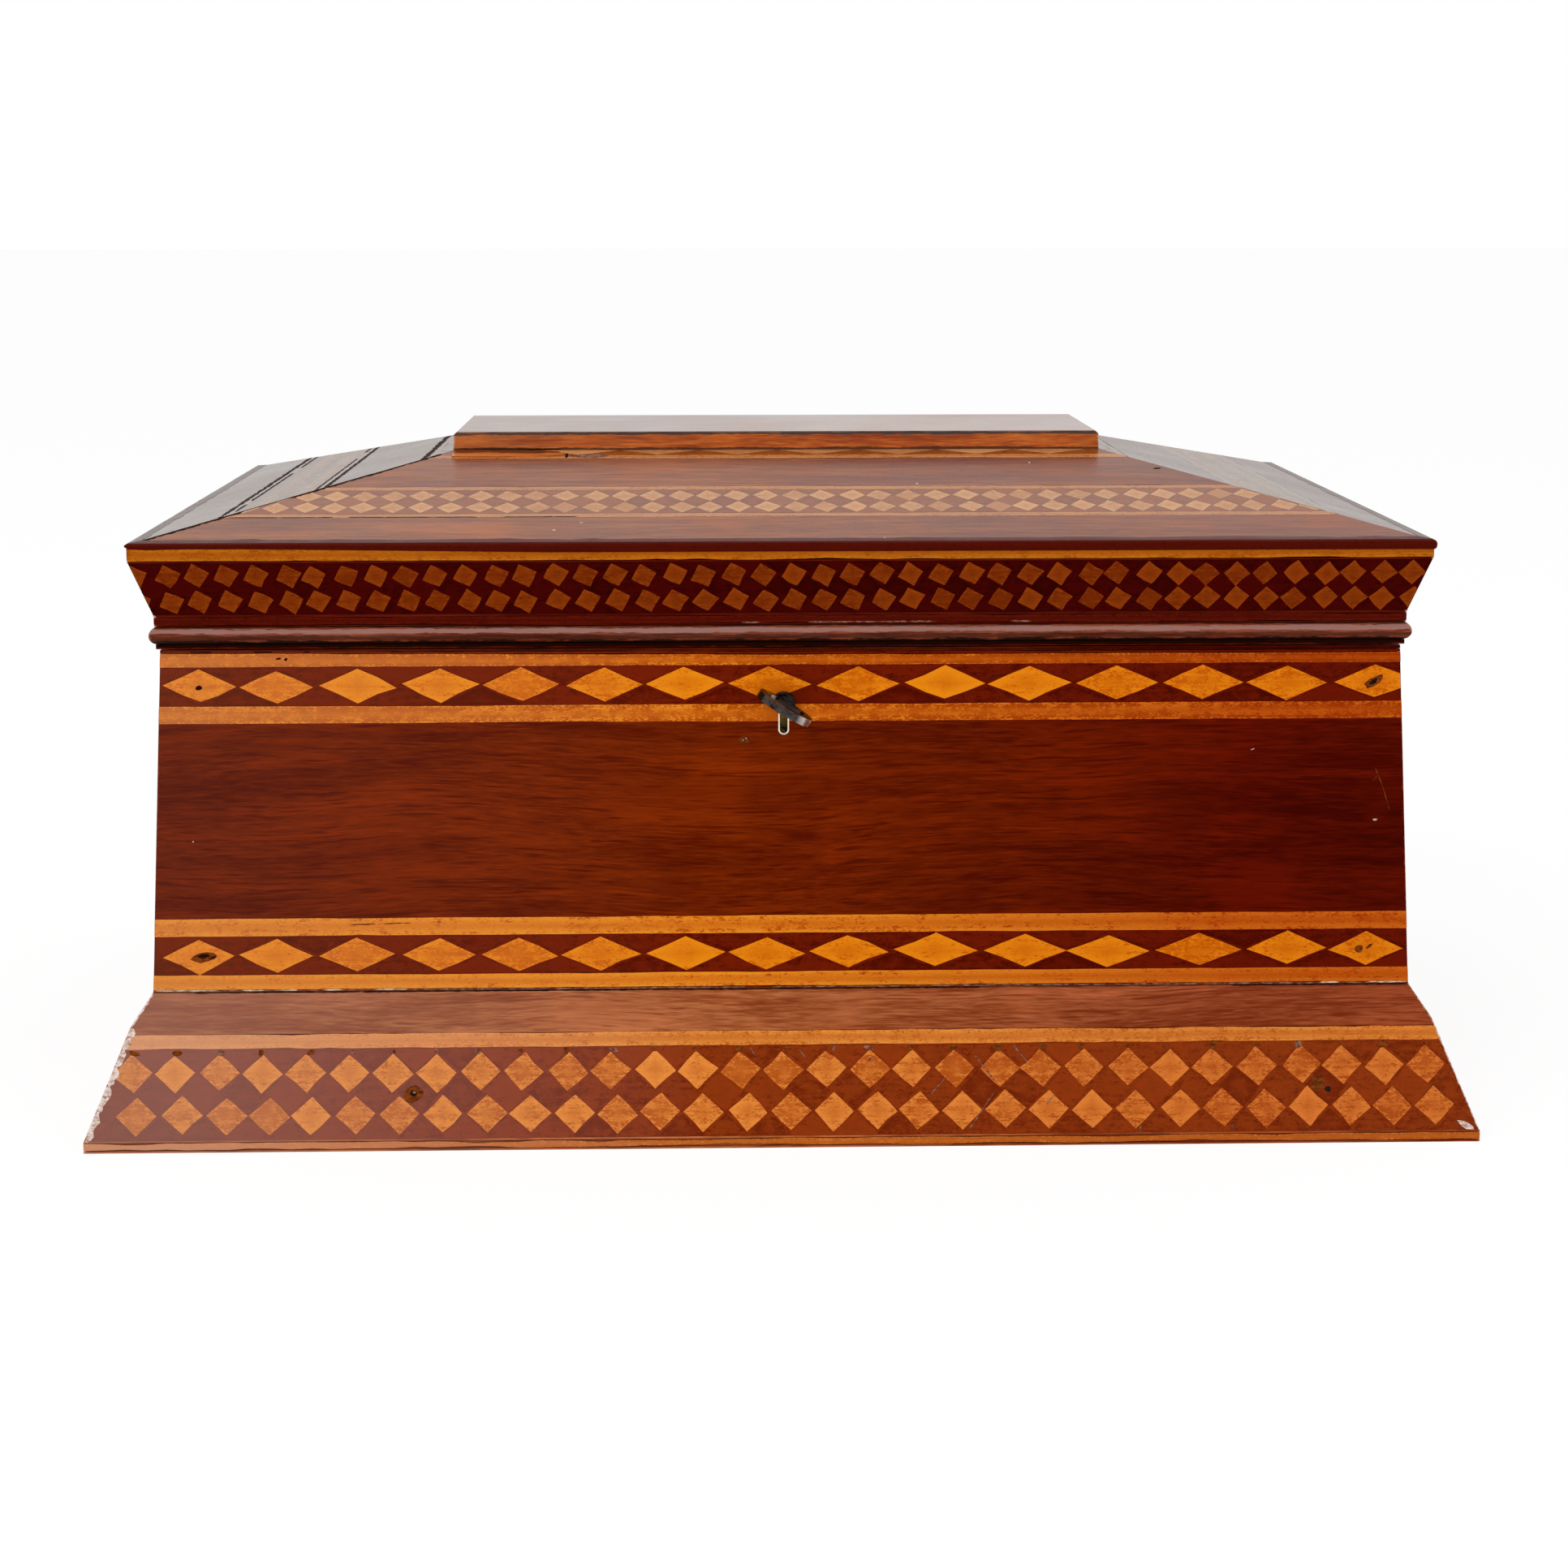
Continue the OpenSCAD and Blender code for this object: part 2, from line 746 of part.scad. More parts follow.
module pin_line(x0, x1, d) {
    translate([x0, pin_o, pin_z]) rotate([0, 90, 0]) cylinder(h = x1 - x0, d = d);
}

// Room for the knuckles in the lid and its bead.
module knuckle_room() {
    for (m = [-1, 1])
        pin_line(m * hinge_x - hinge_l / 2 - 0.3, m * hinge_x + hinge_l / 2 + 0.3, knuckle_d + 0.6);
}

// One leaf: its flat in the rim, the web out to the pin and the knuckles from x0 to x1.
module leaf(x, z, spans) {
    difference() {
        translate([x - hinge_l / 2, top_o - leaf_w, z]) cube([hinge_l, leaf_w, leaf_t]);
        hinge_screws_down();
        hinge_screws_up();
    }
    for (p = spans)
        difference() {
            union() {
                pin_line(x + p[0], x + p[1], knuckle_d);
                translate([x + p[0], top_o - eps, z]) cube([p[1] - p[0], pin_out / 2, leaf_t]);
            }
            pin_line(x + p[0] - past, x + p[1] + past, hinge_pin_d + p[2]);
        }
}

module hinge_leaves_box() {
    inner = hinge_l / 6;
    color(brass_tone)
        for (m = [-1, 1])
            leaf(m * hinge_x, body_z - leaf_t, [[-hinge_l / 2, -inner, 0], [inner, hinge_l / 2, 0]]);
}

module hinge_leaves_lid() {
    inner = hinge_l / 6 - knuckle_gap;
    color(brass_tone)
        for (m = [-1, 1]) leaf(m * hinge_x, rim_z, [[-inner, inner, 2 * pin_slack]]);
}

module hinge_pins() {
    color(steel_tone)
        for (m = [-1, 1])
            pin_line(m * hinge_x - hinge_l / 2, m * hinge_x + hinge_l / 2, hinge_pin_d);
}

module hinge_screws_box() { color(brass_tone) hinge_screws_down(); }
module hinge_screws_lid() { color(brass_tone) hinge_screws_up(); }

module lid_side(s) {
    difference() {
        mitred(s)
            polygon([[inner_o, rim_z], [rim_o, rim_z], [rim_o, bead_z], [rim_o - bead_seat, bead_z],
                     [rim_o - bead_seat, fillet_z], fillet_low, cove_low, cove_top, eave,
                     [inner_o, under_slope(inner_o)]]);
        channel(s, fillet_low, cove_low, band_margin / 2, fillet_h - band_margin / 2);
        channel(s, cove_low, cove_top, cove_band_y[0], cove_band_y[1]);
        channel(s, cove_top, eave, 0, eave_string);
    }
}

// The link plate's recess in the lid's front rim.
module link_recess() {
    translate([-lock_l / 2, -lock_o - rim_plate_w, rim_z - past])
        cube([lock_l, rim_plate_w + eps, lock_plate_t + past]);
}

module lid_front() {
    color(mahogany)
        difference() {
            lid_side(0);
            link_recess();
            link_screw_set();
        }
}

module lid_back() {
    color(mahogany)
        difference() {
            lid_side(2);
            leaf_recess(rim_z - past, leaf_t + past);
            hinge_screws_up();
            knuckle_room();
        }
}

module lid_left() { color(mahogany) lid_side(3); }
module lid_right() { color(mahogany) lid_side(1); }

// Half-round bead let into the lid's rim.
module bead(s) {
    nose = rim_o + bead_out - bead_h / 2;
    mitred(s) {
        translate([rim_o - bead_seat, bead_z]) square([nose - rim_o + bead_seat, bead_h]);
        intersection() {
            translate([nose, bead_z + bead_h / 2]) circle(d = bead_h);
            translate([nose - eps, bead_z - past]) square([bead_h, bead_h + 2 * past]);
        }
    }
}

module bead_front() { color(mahogany) bead(0); }
module bead_right() { color(mahogany) bead(1); }
module bead_left() { color(mahogany) bead(3); }
module bead_back() {
    color(mahogany)
        difference() {
            bead(2);
            knuckle_room();
        }
}

module slope_panel(s) {
    color(mahogany)
        difference() {
            mitred(s)
                polygon([eave, crown, [ledge_o, plate_z], [ledge_o, under_slope(ledge_o)],
                         [inner_o, under_slope(inner_o)]]);
            channel(s, eave, crown, slope_margin, slope_band_y + slope_band_h + slope_string);
            channel(s, eave, crown, crown_y - crown_string, slope_len);
        }
}

module slope_front() { slope_panel(0); }
module slope_right() { slope_panel(1); }
module slope_back() { slope_panel(2); }
module slope_left() { slope_panel(3); }

module crown_board() {
    z = under_slope(ledge_o);
    color(deal)
        translate([-core - ledge_o, -ledge_o, z]) cube([2 * (core + ledge_o), 2 * ledge_o, plate_z - z]);
}

// The plate's outline from one side: a square edge with a chamfered upper arris.
module plate_outline(half) {
    c = plate_chamfer;
    top = plate_z + plate_t;
    polygon([[-half, plate_z], [half, plate_z], [half, top - c], [half - c, top], [c - half, top],
             [-half, top - c]]);
}

module top_plate() {
    color(mahogany)
        intersection() {
            rotate([90, 0, 0])
                linear_extrude(height = 2 * far, center = true) plate_outline(core + plate_o);
            rotate([90, 0, 90])
                linear_extrude(height = 2 * far, center = true) plate_outline(plate_o);
        }
}

// The thin fillet under the plate's edge: whole on three sides, and only its left end at the front.
module plate_fillet() {
    end_x = -core - plate_o + plate_fillet_left;
    out_o = plate_o + plate_fillet_w;
    color(mahogany)
        difference() {
            for (s = sides)
                mitred(s, mitre_gap)
                    polygon([crown, [out_o, plate_z - plate_fillet_w * slope_tan],
                             [out_o, plate_z + plate_fillet_h], [plate_o, plate_z + plate_fillet_h]]);
            translate([end_x, -out_o - past, plate_z - plate_t])
                cube([core + plate_o - end_x, plate_fillet_w + past, 2 * plate_t]);
        }
}

module cove_strings() {
    color(boxwood)
        for (s = sides) {
            strip(s, fillet_low, cove_low, band_margin / 2, fillet_h - band_margin / 2);
            strip(s, cove_top, eave, 0, eave_string);
        }
}

module cove_rows(s) {
    for (m = [-1, 1])
        row(s, cove_low, cove_top, cove_middle + m * cove_row / 2, cove_pitch, cove_lozenge_h);
}

module cove_band_grounds() {
    color(rosewood)
        for (s = sides)
            pierced_strip(s, cove_low, cove_top, cove_band_y[0], cove_band_y[1]) cove_rows(s);
}

module cove_lozenges() {
    color(boxwood) for (s = sides) veneer(s, cove_low, cove_top) cove_rows(s);
}

module slope_strings() {
    color(boxwood)
        for (s = sides) {
            strip(s, eave, crown, slope_margin, slope_band_y);
            strip(s, eave, crown, slope_band_y + slope_band_h,
                  slope_band_y + slope_band_h + slope_string);
            strip(s, eave, crown, crown_y - crown_string, crown_y);
        }
}

module slope_rows(s) {
    for (m = [-1, 1])
        row(s, eave, crown, slope_band_y + slope_band_h / 2 + m * slope_row / 2, slope_pitch,
            slope_lozenge_h);
}

// Long diamonds whose upper part the top plate hides.
module crown_row(s) {
    intersection() {
        row(s, eave, crown, slope_len - band_margin, diamond_pitch, diamond_h);
        translate([-far, crown_y]) square([2 * far, crown_band]);
    }
}

module slope_band_grounds() {
    color(rosewood)
        for (s = sides) {
            pierced_strip(s, eave, crown, slope_band_y, slope_band_y + slope_band_h) slope_rows(s);
            pierced_strip(s, eave, crown, crown_y, slope_len) crown_row(s);
        }
}

module slope_lozenges() {
    color(boxwood) for (s = sides) veneer(s, eave, crown) slope_rows(s);
}

module crown_diamonds() {
    color(boxwood) for (s = sides) veneer(s, eave, crown) crown_row(s);
}

// Flat plate in the lid's rim with two loops that drop through the lock's rim plate.
module link_plate() {
    color(brass_tone)
        difference() {
            union() {
                translate([-lock_l / 2, -lock_o - rim_plate_w, rim_z])
                    cube([lock_l, rim_plate_w, lock_plate_t]);
                for (m = [-1, 1])
                    translate([m * loop_x - loop_t / 2, -loop_o - loop_w / 2, loop_low])
                        cube([loop_t, loop_w, loop_drop + eps]);
            }
            translate([-lock_l / 2, -loop_o - loop_w / 2 + loop_wall, loop_low + loop_wall])
                cube([lock_l, loop_w - 2 * loop_wall, finger_h + 2 * bolt_clear]);
            link_screw_set();
        }
}

module link_screws() { color(brass_tone) link_screw_set(); }

module lid_lining() {
    t = lining_t;
    z = under_slope(inner_o);
    top = under_slope(ledge_o);
    color(paper_tone) {
        for (s = sides)
            mitred(s, mitre_gap)
                polygon([[inner_o, rim_z + lining_margin], [inner_o, z], [ledge_o, top],
                         [ledge_o, top - t], [inner_o - t, z - t],
                         [inner_o - t, rim_z + lining_margin]]);
        translate([-core - ledge_o + mitre_gap, -ledge_o + mitre_gap, top - t])
            cube([2 * (core + ledge_o - mitre_gap), 2 * (ledge_o - mitre_gap), t]);
    }
}

// Sliding bolt cut from plate: a bridge over the key's sweep, a low bar and two fingers.
module bolt() {
    left_tip = -loop_x + finger_tip;
    right_tip = loop_x + finger_tip;
    right_post = loop_x + finger_post;
    step_x = loop_x - loop_t / 2 - bolt_clear - at_rest - post_w;
    color(steel_tone)
        translate([0, -loop_o + bolt_t / 2, 0])
            rotate([90, 0, 0])
                linear_extrude(height = bolt_t)
                    polygon([[left_tip, finger_z], [step_x, finger_z], [step_x, bar_z - bar_h],
                             [right_post + post_w, bar_z - bar_h],
                             [right_post + post_w, finger_z + finger_h],
                             [right_tip, finger_z + finger_h], [right_tip, finger_z],
                             [right_post, finger_z], [right_post, bar_z], [step_x + post_w, bar_z],
                             [step_x + post_w, finger_z + finger_h], [left_tip, finger_z + finger_h]]);
}

// Pipe key: shank with a bored end, bit, collar and a flat oval bow.
module key() {
    tip_o = case_o + key_play;
    face_o = top_o + body_lean * key_drop / body_h;
    collar_o = face_o + key_play;
    bow_o = collar_o + 1.5 * key_collar;
    bore_end = case_front + key_play;
    color(steel_tone)
        translate([0, 0, key_z])
            rotate([0, -key_turn, 0])
                difference() {
                    union() {
                        translate([0, -tip_o, 0])
                            rotate([90, 0, 0]) cylinder(h = bow_o + bow_rim / 2 - tip_o, d = key_shank_d);
                        translate([0, -collar_o, 0])
                            rotate([90, 0, 0]) cylinder(h = key_collar, d = key_shank_d + 1.5 * key_collar);
                        translate([-key_bit_t / 2, -tip_o - key_play - key_bit_w, -key_bit_r])
                            cube([key_bit_t, key_bit_w, key_bit_r - key_shank_d / 2 + key_play]);
                        key_bow(bow_o);
                    }
                    translate([0, -tip_o + past, 0])
                        rotate([90, 0, 0])
                            cylinder(h = bore_end - tip_o + past, d = key_pin_d + 2 * key_slack);
                }
}

// Oval ring made from two half-round ends and straight flanks, in the plane of the bit.
module key_bow(o) {
    r = bow_l / 2;
    half = bow_w / 2 - r;
    translate([-bow_t / 2, -o - r, 0])
        rotate([90, 0, 90])
            linear_extrude(height = bow_t)
                difference() {
                    bow_shape(r, half);
                    bow_shape(r - bow_rim, half);
                }
}

module bow_shape(r, half) {
    translate([-r, -half]) square([2 * r, 2 * half]);
    for (m = [-1, 1]) translate([0, m * half]) circle(r = r);
}

bottom_board();
front_board();
back_board();
left_board();
right_board();
plinth_front();
plinth_back();
plinth_left();
plinth_right();
body_strings();
body_band_grounds();
body_diamonds();
plinth_strings();
plinth_band_grounds();
plinth_lozenges();
corner_nails();
plinth_nails();
box_lining();
keyhole_lining();
lock_plate();
lock_case();
lock_screws();
hinge_leaves_box();
hinge_pins();
hinge_screws_box();
lid_front();
lid_back();
lid_left();
lid_right();
bead_front();
bead_back();
bead_left();
bead_right();
slope_front();
slope_back();
slope_left();
slope_right();
crown_board();
top_plate();
plate_fillet();
cove_strings();
cove_band_grounds();
cove_lozenges();
slope_strings();
slope_band_grounds();
slope_lozenges();
crown_diamonds();
hinge_leaves_lid();
hinge_screws_lid();
link_plate();
link_screws();
lid_lining();
bolt();
key();
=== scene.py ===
"""Looks of an antique marquetry box with a hipped lid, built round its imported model."""

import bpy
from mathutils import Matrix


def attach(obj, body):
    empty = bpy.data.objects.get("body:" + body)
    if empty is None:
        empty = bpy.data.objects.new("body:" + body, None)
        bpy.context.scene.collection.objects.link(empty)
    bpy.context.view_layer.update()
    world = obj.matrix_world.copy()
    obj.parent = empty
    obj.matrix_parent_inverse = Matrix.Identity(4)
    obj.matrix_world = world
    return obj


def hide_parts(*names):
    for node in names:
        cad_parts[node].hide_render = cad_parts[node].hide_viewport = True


bl_info = {
    "name": "Marquetry box looks",
    "version": (1, 0, 0),
    "blender": (4, 5, 0),
    "location": "View3D > Sidebar > Marquetry",
    "description": "Cuts the inlay, polishes the boards and lights an antique marquetry box",
    "category": "Object",
}

import math
import random

import bmesh
import bpy
from mathutils import Matrix, Vector

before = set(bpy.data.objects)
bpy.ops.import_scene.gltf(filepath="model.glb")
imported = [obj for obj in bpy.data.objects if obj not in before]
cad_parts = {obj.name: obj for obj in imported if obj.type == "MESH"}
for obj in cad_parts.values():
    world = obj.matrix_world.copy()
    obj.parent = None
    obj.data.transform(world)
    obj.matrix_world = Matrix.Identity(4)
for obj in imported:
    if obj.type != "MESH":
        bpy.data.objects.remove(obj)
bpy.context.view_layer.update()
MM = 0.001

# The box's plan: a ridge of this half length on the long sides, and none on the short ones
CORE = 55.0
SIDES = (0, 1, 2, 3)
# Profile corners as distance out from the ridge and height, in mm
FOOT_LOW = (115.0, 0.0)
FOOT_TOP = (115.0, 2.6)
BEVEL_LOW = (104.5, 28.5)
BODY_LOW = (99.5, 36.0)
BODY_TOP = (95.0, 119.9)
FILLET_LOW = (96.0, 125.8)
COVE_LOW = (96.0, 128.2)
COVE_TOP = (100.8, 142.0)
EAVE = (100.8, 146.0)
CROWN = (29.25, 162.0)
PLATE_TOP = (29.25, 166.7)
# The rounded nosing over the eave, as distance out and height, from under the edge over it and back
NOSING = ((100.7, 143.9), (101.15, 144.15), (101.36, 144.75), (101.36, 145.5), (101.1, 146.05),
          (100.5, 146.38), (99.4, 146.54), (97.6, 146.78), (97.6, 146.5), (100.5, 145.8), (100.5, 144.3))
# The keyhole: height of its round part's middle, radius of that and of the slot's end, and the slot's drop
KEY_HEIGHT = 106.7
KEYHOLE_ROUND = 2.5
KEYHOLE_SLOT = 1.3
KEYHOLE_DROP = 6.7
# The ends of the prism that cuts it, as distances out from the ridge
KEYHOLE_ENDS = (90.0, 102.0)
# Rounding of the key's edges, in m
KEY_EASE = 0.00045
# Depth of the inlay, and how far out of a face the undersides of grounds, dark tiles and light tiles lie
INLAY_DEPTH = 0.8
GROUND_SEAT = 0.05 - INLAY_DEPTH
DARK_SEAT = 0.2 - INLAY_DEPTH
LIGHT_SEAT = 0.3 - INLAY_DEPTH
# Underside of a mark of age that lies on the finished face
MARK_SEAT = -0.1
# The grain of each piece starts somewhere within this length, so that no two pieces show the same wood
GRAIN_REACH = 900
# Places along the front of the diamonds in its upper and lower band, uneven as they were laid
UPPER_DIAMONDS = (-140.9, -122.4, -102.7, -83.0, -63.5, -43.4, -24.0, -3.3, 18.0, 39.3, 59.6, 81.0, 102.0,
                  122.4, 144.2)
LOWER_DIAMONDS = (-143.0, -124.3, -104.6, -84.5, -64.9, -45.0, -24.0, -4.2, 15.7, 37.3, 59.4, 79.8, 102.3,
                  124.2, 143.8)
# Their height, the gap between their tips, and their pitch and number on the long and the short sides
DIAMOND_TALL = 8.3
DIAMOND_GAP = 1.1
DIAMOND_PITCH = 20.7
DIAMOND_COUNTS = (15, 9)
# Heights of each band on the body: lower string, ground, upper string; and of the middle of its diamonds;
# the tones of its two strings, and the places of its diamonds
BODY_BANDS = ((0.4, 4.2, 13.7, 18.3, 8.9, 0.75, 0.55, LOWER_DIAMONDS),
              (66.0, 70.4, 79.8, 82.4, 75.2, 0.28, 0.1, UPPER_DIAMONDS))
# Top of the dark strip over the upper band
STRIP_TOP = 83.1
# Rows of small lozenges: the height of each row's middle and its shift along, the pitch, the width and height
# of a lozenge, the heights between which the band lies, and how many run on past each mitre
PLINTH_ROWS = {"rows": ((6.3, 1.25), (16.5, -0.4)), "pitch": 10.55, "wide": 9.8, "tall": 9.4,
               "band": (0.4, 22.45), "ends": 0}
COVE_ROWS = {"rows": ((3.9, 2.6), (10.7, 2.2)), "pitch": 7.1, "wide": 6.4, "tall": 6.4,
             "band": (0.3, 14.3), "ends": 1}
SLOPE_ROWS = {"rows": ((26.9, 0.2), (35.7, -0.1)), "pitch": 7.1, "wide": 6.9, "tall": 8.5,
              "band": (22.2, 40.4), "ends": 2}
# Lower and upper edge of the grounds between the strings, and of each string, up its own face
PLINTH_GROUND = (0.4, 22.6)
COVE_GROUND = (0.2, 14.5)
SLOPE_GROUND = (22.0, 40.6)
PLINTH_STRING = (22.45, 26.15)
FOOT_STRING = (0.5, 2.5)
AMBER_STRING = (0.0, 3.1)
BROWN_STRING = (0.2, 2.2)
SLOPE_STRINGS = ((19.6, 22.2), (40.4, 43.0))
# The last string under the plate and the ground over it, down from the slope's top
CROWN_STRING = (7.2, 4.4)
CROWN_GROUND = (4.6, 0.05)
# The half diamonds under the plate: pitch, half width, height, and number on the long and the short sides
CROWN_PITCH = 20.5
CROWN_HALF = 9.6
CROWN_TALL = 3.8
CROWN_COUNTS = (8, 3)
# Height of the fillet under the plate
FILLET_TALL = 1.3
# Marks of age on the front, as place along, place up the face, width and height in mm, and turn in degrees
BODY_PLUGS = ((-141.0, 74.9, 1.7, 1.2, 20), (143.6, 75.0, 2.6, 1.1, 35), (-142.1, 8.9, 3.0, 1.0, 5),
              (-139.6, 8.6, 1.8, 0.5, 15), (-121.7, 81.9, 1.4, 0.5, 10), (-119.9, 81.7, 0.9, 0.7, 60))
BODY_SMUDGES = ((-141.8, 8.6, 6.5, 2.6, 8), (144.0, 75.2, 5.4, 2.0, 30), (-9.6, 61.6, 2.6, 1.9, 0),
                (142.0, 8.6, 2.3, 1.9, 10), (144.6, 9.4, 2.0, 0.7, 40))
BODY_FLECKS = ((145.1, 41.0, 1.2, 0.5, 0), (114.5, 58.6, 1.0, 0.25, 20), (-9.9, 61.5, 0.6, 0.2, 55),
               (-9.1, 61.9, 0.6, 0.2, 120), (-143.6, 37.3, 0.4, 0.3, 0))
PLINTH_PLUGS = ((-90.4, 11.5, 1.9, 1.7, 0),)
PLINTH_SMUDGES = ((-90.4, 11.5, 4.6, 4.2, 45), (130.4, 12.0, 4.2, 3.6, 45))
SLOPE_FLECKS = ((-55.1, 9.9, 0.8, 1.4, 0), (-48.8, 15.3, 0.7, 1.2, 20), (24.2, 3.2, 0.5, 1.4, 10),
                (34.7, 44.5, 0.6, 1.1, 0), (64.9, 61.5, 0.5, 1.1, 0))
SLOPE_PLUGS = ((97.2, 56.4, 2.2, 1.0, 10),)
# Lines of age on the front, as both ends' places along and up the face
BODY_SCRATCHES = ((144.8, 53.8, 146.6, 49.6), (146.6, 49.6, 148.6, 43.4), (145.6, 52.2, 144.2, 50.6))
PLINTH_WAX = ((44.6, 1.4, 51.0, 10.5), (51.4, 13.0, 46.5, 19.5), (56.0, 22.0, 59.5, 17.5),
              (86.5, 0.3, 86.8, 2.6), (109.2, 0.5, 109.3, 2.4), (62.0, 5.5, 66.0, 10.0),
              (39.0, 14.0, 35.0, 9.5), (20.0, 18.0, 23.5, 21.8), (3.0, 21.9, 5.0, 19.4),
              (-8.6, 22.0, -7.0, 19.6))
# Refraction of old shellac, and of wax, glue and paper
SHELLAC_IOR = 1.5
WAX_IOR = 1.45
# The camera's place in m, and its yaw, pitch and roll in radians, fitted to the photographed corners
CAMERA_PLACE = (-0.01772, -0.77828, 0.22686)
CAMERA_TURN = (-0.02607, 0.20291, 0.0005)


def corners_round(polygon):
    """Each corner of an outline with the next one, right round."""
    return zip(polygon, polygon[1:] + polygon[:1])


class Face:
    """One flat face of the box's profile, on one side. Maps along, up and out in mm to the frame."""

    def __init__(self, side, low, high):
        self.side = side
        self.low = low
        self.length = math.dist(low, high)
        self.up = ((high[0] - low[0]) / self.length, (high[1] - low[1]) / self.length)
        self.core = CORE if side % 2 == 0 else 0.0

    def half(self, y):
        """Half the face's run at the height y up the face."""
        return self.core + self.low[0] + self.up[0] * y

    def at(self, x, y, out):
        """The frame point of a place on the face."""
        o = self.low[0] + self.up[0] * y + self.up[1] * out
        z = self.low[1] + self.up[1] * y - self.up[0] * out
        return on_side(self.side, x, o, z)

    def clip(self, polygon, inset):
        """The part of a polygon that lies on the face, this far inside both mitres."""
        for sign in (-1, 1):
            kept = []
            for p, q in corners_round(polygon):
                dp = self.half(p[1]) - inset - sign * p[0]
                dq = self.half(q[1]) - inset - sign * q[0]
                if dp >= 0:
                    kept.append(p)
                if dp * dq < 0:
                    t = dp / (dp - dq)
                    kept.append((p[0] + (q[0] - p[0]) * t, p[1] + (q[1] - p[1]) * t))
            polygon = kept
            if len(polygon) < 3:
                return []
        return polygon


def on_side(side, x, o, z):
    """The frame point of a place along a side, out from the ridge and up."""
    o += CORE if side % 2 else 0.0
    across, deep = ((x, -o), (o, x), (-x, o), (-o, -x))[side]
    return Vector((across * MM, deep * MM, z * MM))


def faces(low, high):
    return [Face(side, low, high) for side in SIDES]


def area(polygon):
    total = 0.0
    for p, q in corners_round(polygon):
        total += p[0] * q[1] - q[0] * p[1]
    return total / 2


def shrink(polygon, amount):
    """The polygon with every edge moved inwards by the amount, or nothing where it is too small."""
    normals = []
    for p, q in corners_round(polygon):
        length = math.dist(p, q)
        if length < 1e-6:
            return []
        normals.append(((p[1] - q[1]) / length, (q[0] - p[0]) / length))
    result = []
    for i, (x, y) in enumerate(polygon):
        before = normals[i - 1]
        after = normals[i]
        closing = 1 + before[0] * after[0] + before[1] * after[1]
        if closing < 0.05:
            return []
        move = amount / closing
        result.append((x + (before[0] + after[0]) * move, y + (before[1] + after[1]) * move))
    return result if area(result) > 0.4 * area(polygon) else []


def swung(x, y, dx, dy, angle):
    """The place that lies dx and dy from x and y once that step is turned by the angle."""
    c = math.cos(angle)
    s = math.sin(angle)
    return x + c * dx - s * dy, y + s * dx + c * dy


def outward(mesh):
    """Turns every face of closed pieces outwards."""
    form = bmesh.new()
    form.from_mesh(mesh)
    bmesh.ops.recalc_face_normals(form, faces=form.faces)
    form.to_mesh(mesh)
    form.free()


def placed(name, data):
    """A new object with that data, in the scene."""
    made = bpy.data.objects.new(name, data)
    bpy.context.scene.collection.objects.link(made)
    return made


class Veneers:
    """Collects thin cut pieces and makes one mesh of them, with each piece's own lie, tone and rim."""

    def __init__(self):
        self.points = []
        self.polygons = []
        self.lay = []
        self.tone = []
        self.edge = []

    def point(self, place, lay, tone, edge):
        self.points.append(place)
        self.lay.append(lay)
        self.tone.append(tone)
        self.edge.append(edge)

    def ring(self, face, polygon, out, tone, edge, shift):
        start = len(self.points)
        for x, y in polygon:
            self.point(face.at(x, y, out), (x, y, shift), tone, edge)
        return start

    def wall(self, a, b, count):
        """Closes the space between two rings of that many points."""
        for k in range(count):
            n = (k + 1) % count
            self.polygons.append((a + k, b + k, b + n, a + n))

    def piece(self, face, polygon, low, high, rim, tone, rng=None, inset=0.06):
        """A piece with that outline, from low to high out of the face, its rim eased by hand."""
        shift = rng.random() * GRAIN_REACH if rng else 0.0
        polygon = face.clip(polygon, inset)
        if not polygon or abs(area(polygon)) < 0.05:
            return
        if area(polygon) < 0:
            polygon = polygon[::-1]
        inner = shrink(polygon, rim) if rim else []
        count = len(polygon)
        rings = [self.ring(face, polygon, low, tone, 1.0, shift),
                 self.ring(face, polygon, high - rim * 0.3, tone, 1.0 if rim else 0.5, shift)]
        if inner:
            rings.append(self.ring(face, inner, high, tone, 0.85, shift))
        for a, b in zip(rings, rings[1:]):
            for i in range(count):
                j = (i + 1) % count
                self.polygons.append((a + i, a + j, b + j, b + i))
        self.polygons.append(tuple(reversed(range(rings[0], rings[0] + count))))
        if not inner:
            self.polygons.append(tuple(range(rings[-1], rings[-1] + count)))
            return
        middle = (sum(p[0] for p in inner) / count, sum(p[1] for p in inner) / count)
        heart = self.ring(face, [middle], high, tone, 0.0, shift)
        for i in range(count):
            self.polygons.append((rings[-1] + i, rings[-1] + (i + 1) % count, heart))

    def build(self, name, finish, body, slot, *replaced):
        mesh = bpy.data.meshes.new(name)
        mesh.from_pydata(self.points, [], self.polygons)
        mesh.update()
        outward(mesh)
        lay = [value for place in self.lay for value in place]
        for key, kind, field, values in (("lay", "FLOAT_VECTOR", "vector", lay),
                                         ("tone", "FLOAT", "value", self.tone),
                                         ("edge", "FLOAT", "value", self.edge)):
            mesh.attributes.new(key, kind, "POINT").data.foreach_set(field, values)
        mesh.materials.append(palette()[finish])
        made = placed(name, mesh)
        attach(made, body)
        if replaced:
            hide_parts(*replaced)
        return made


def veneer_sets(count):
    return [Veneers() for _ in range(count)]


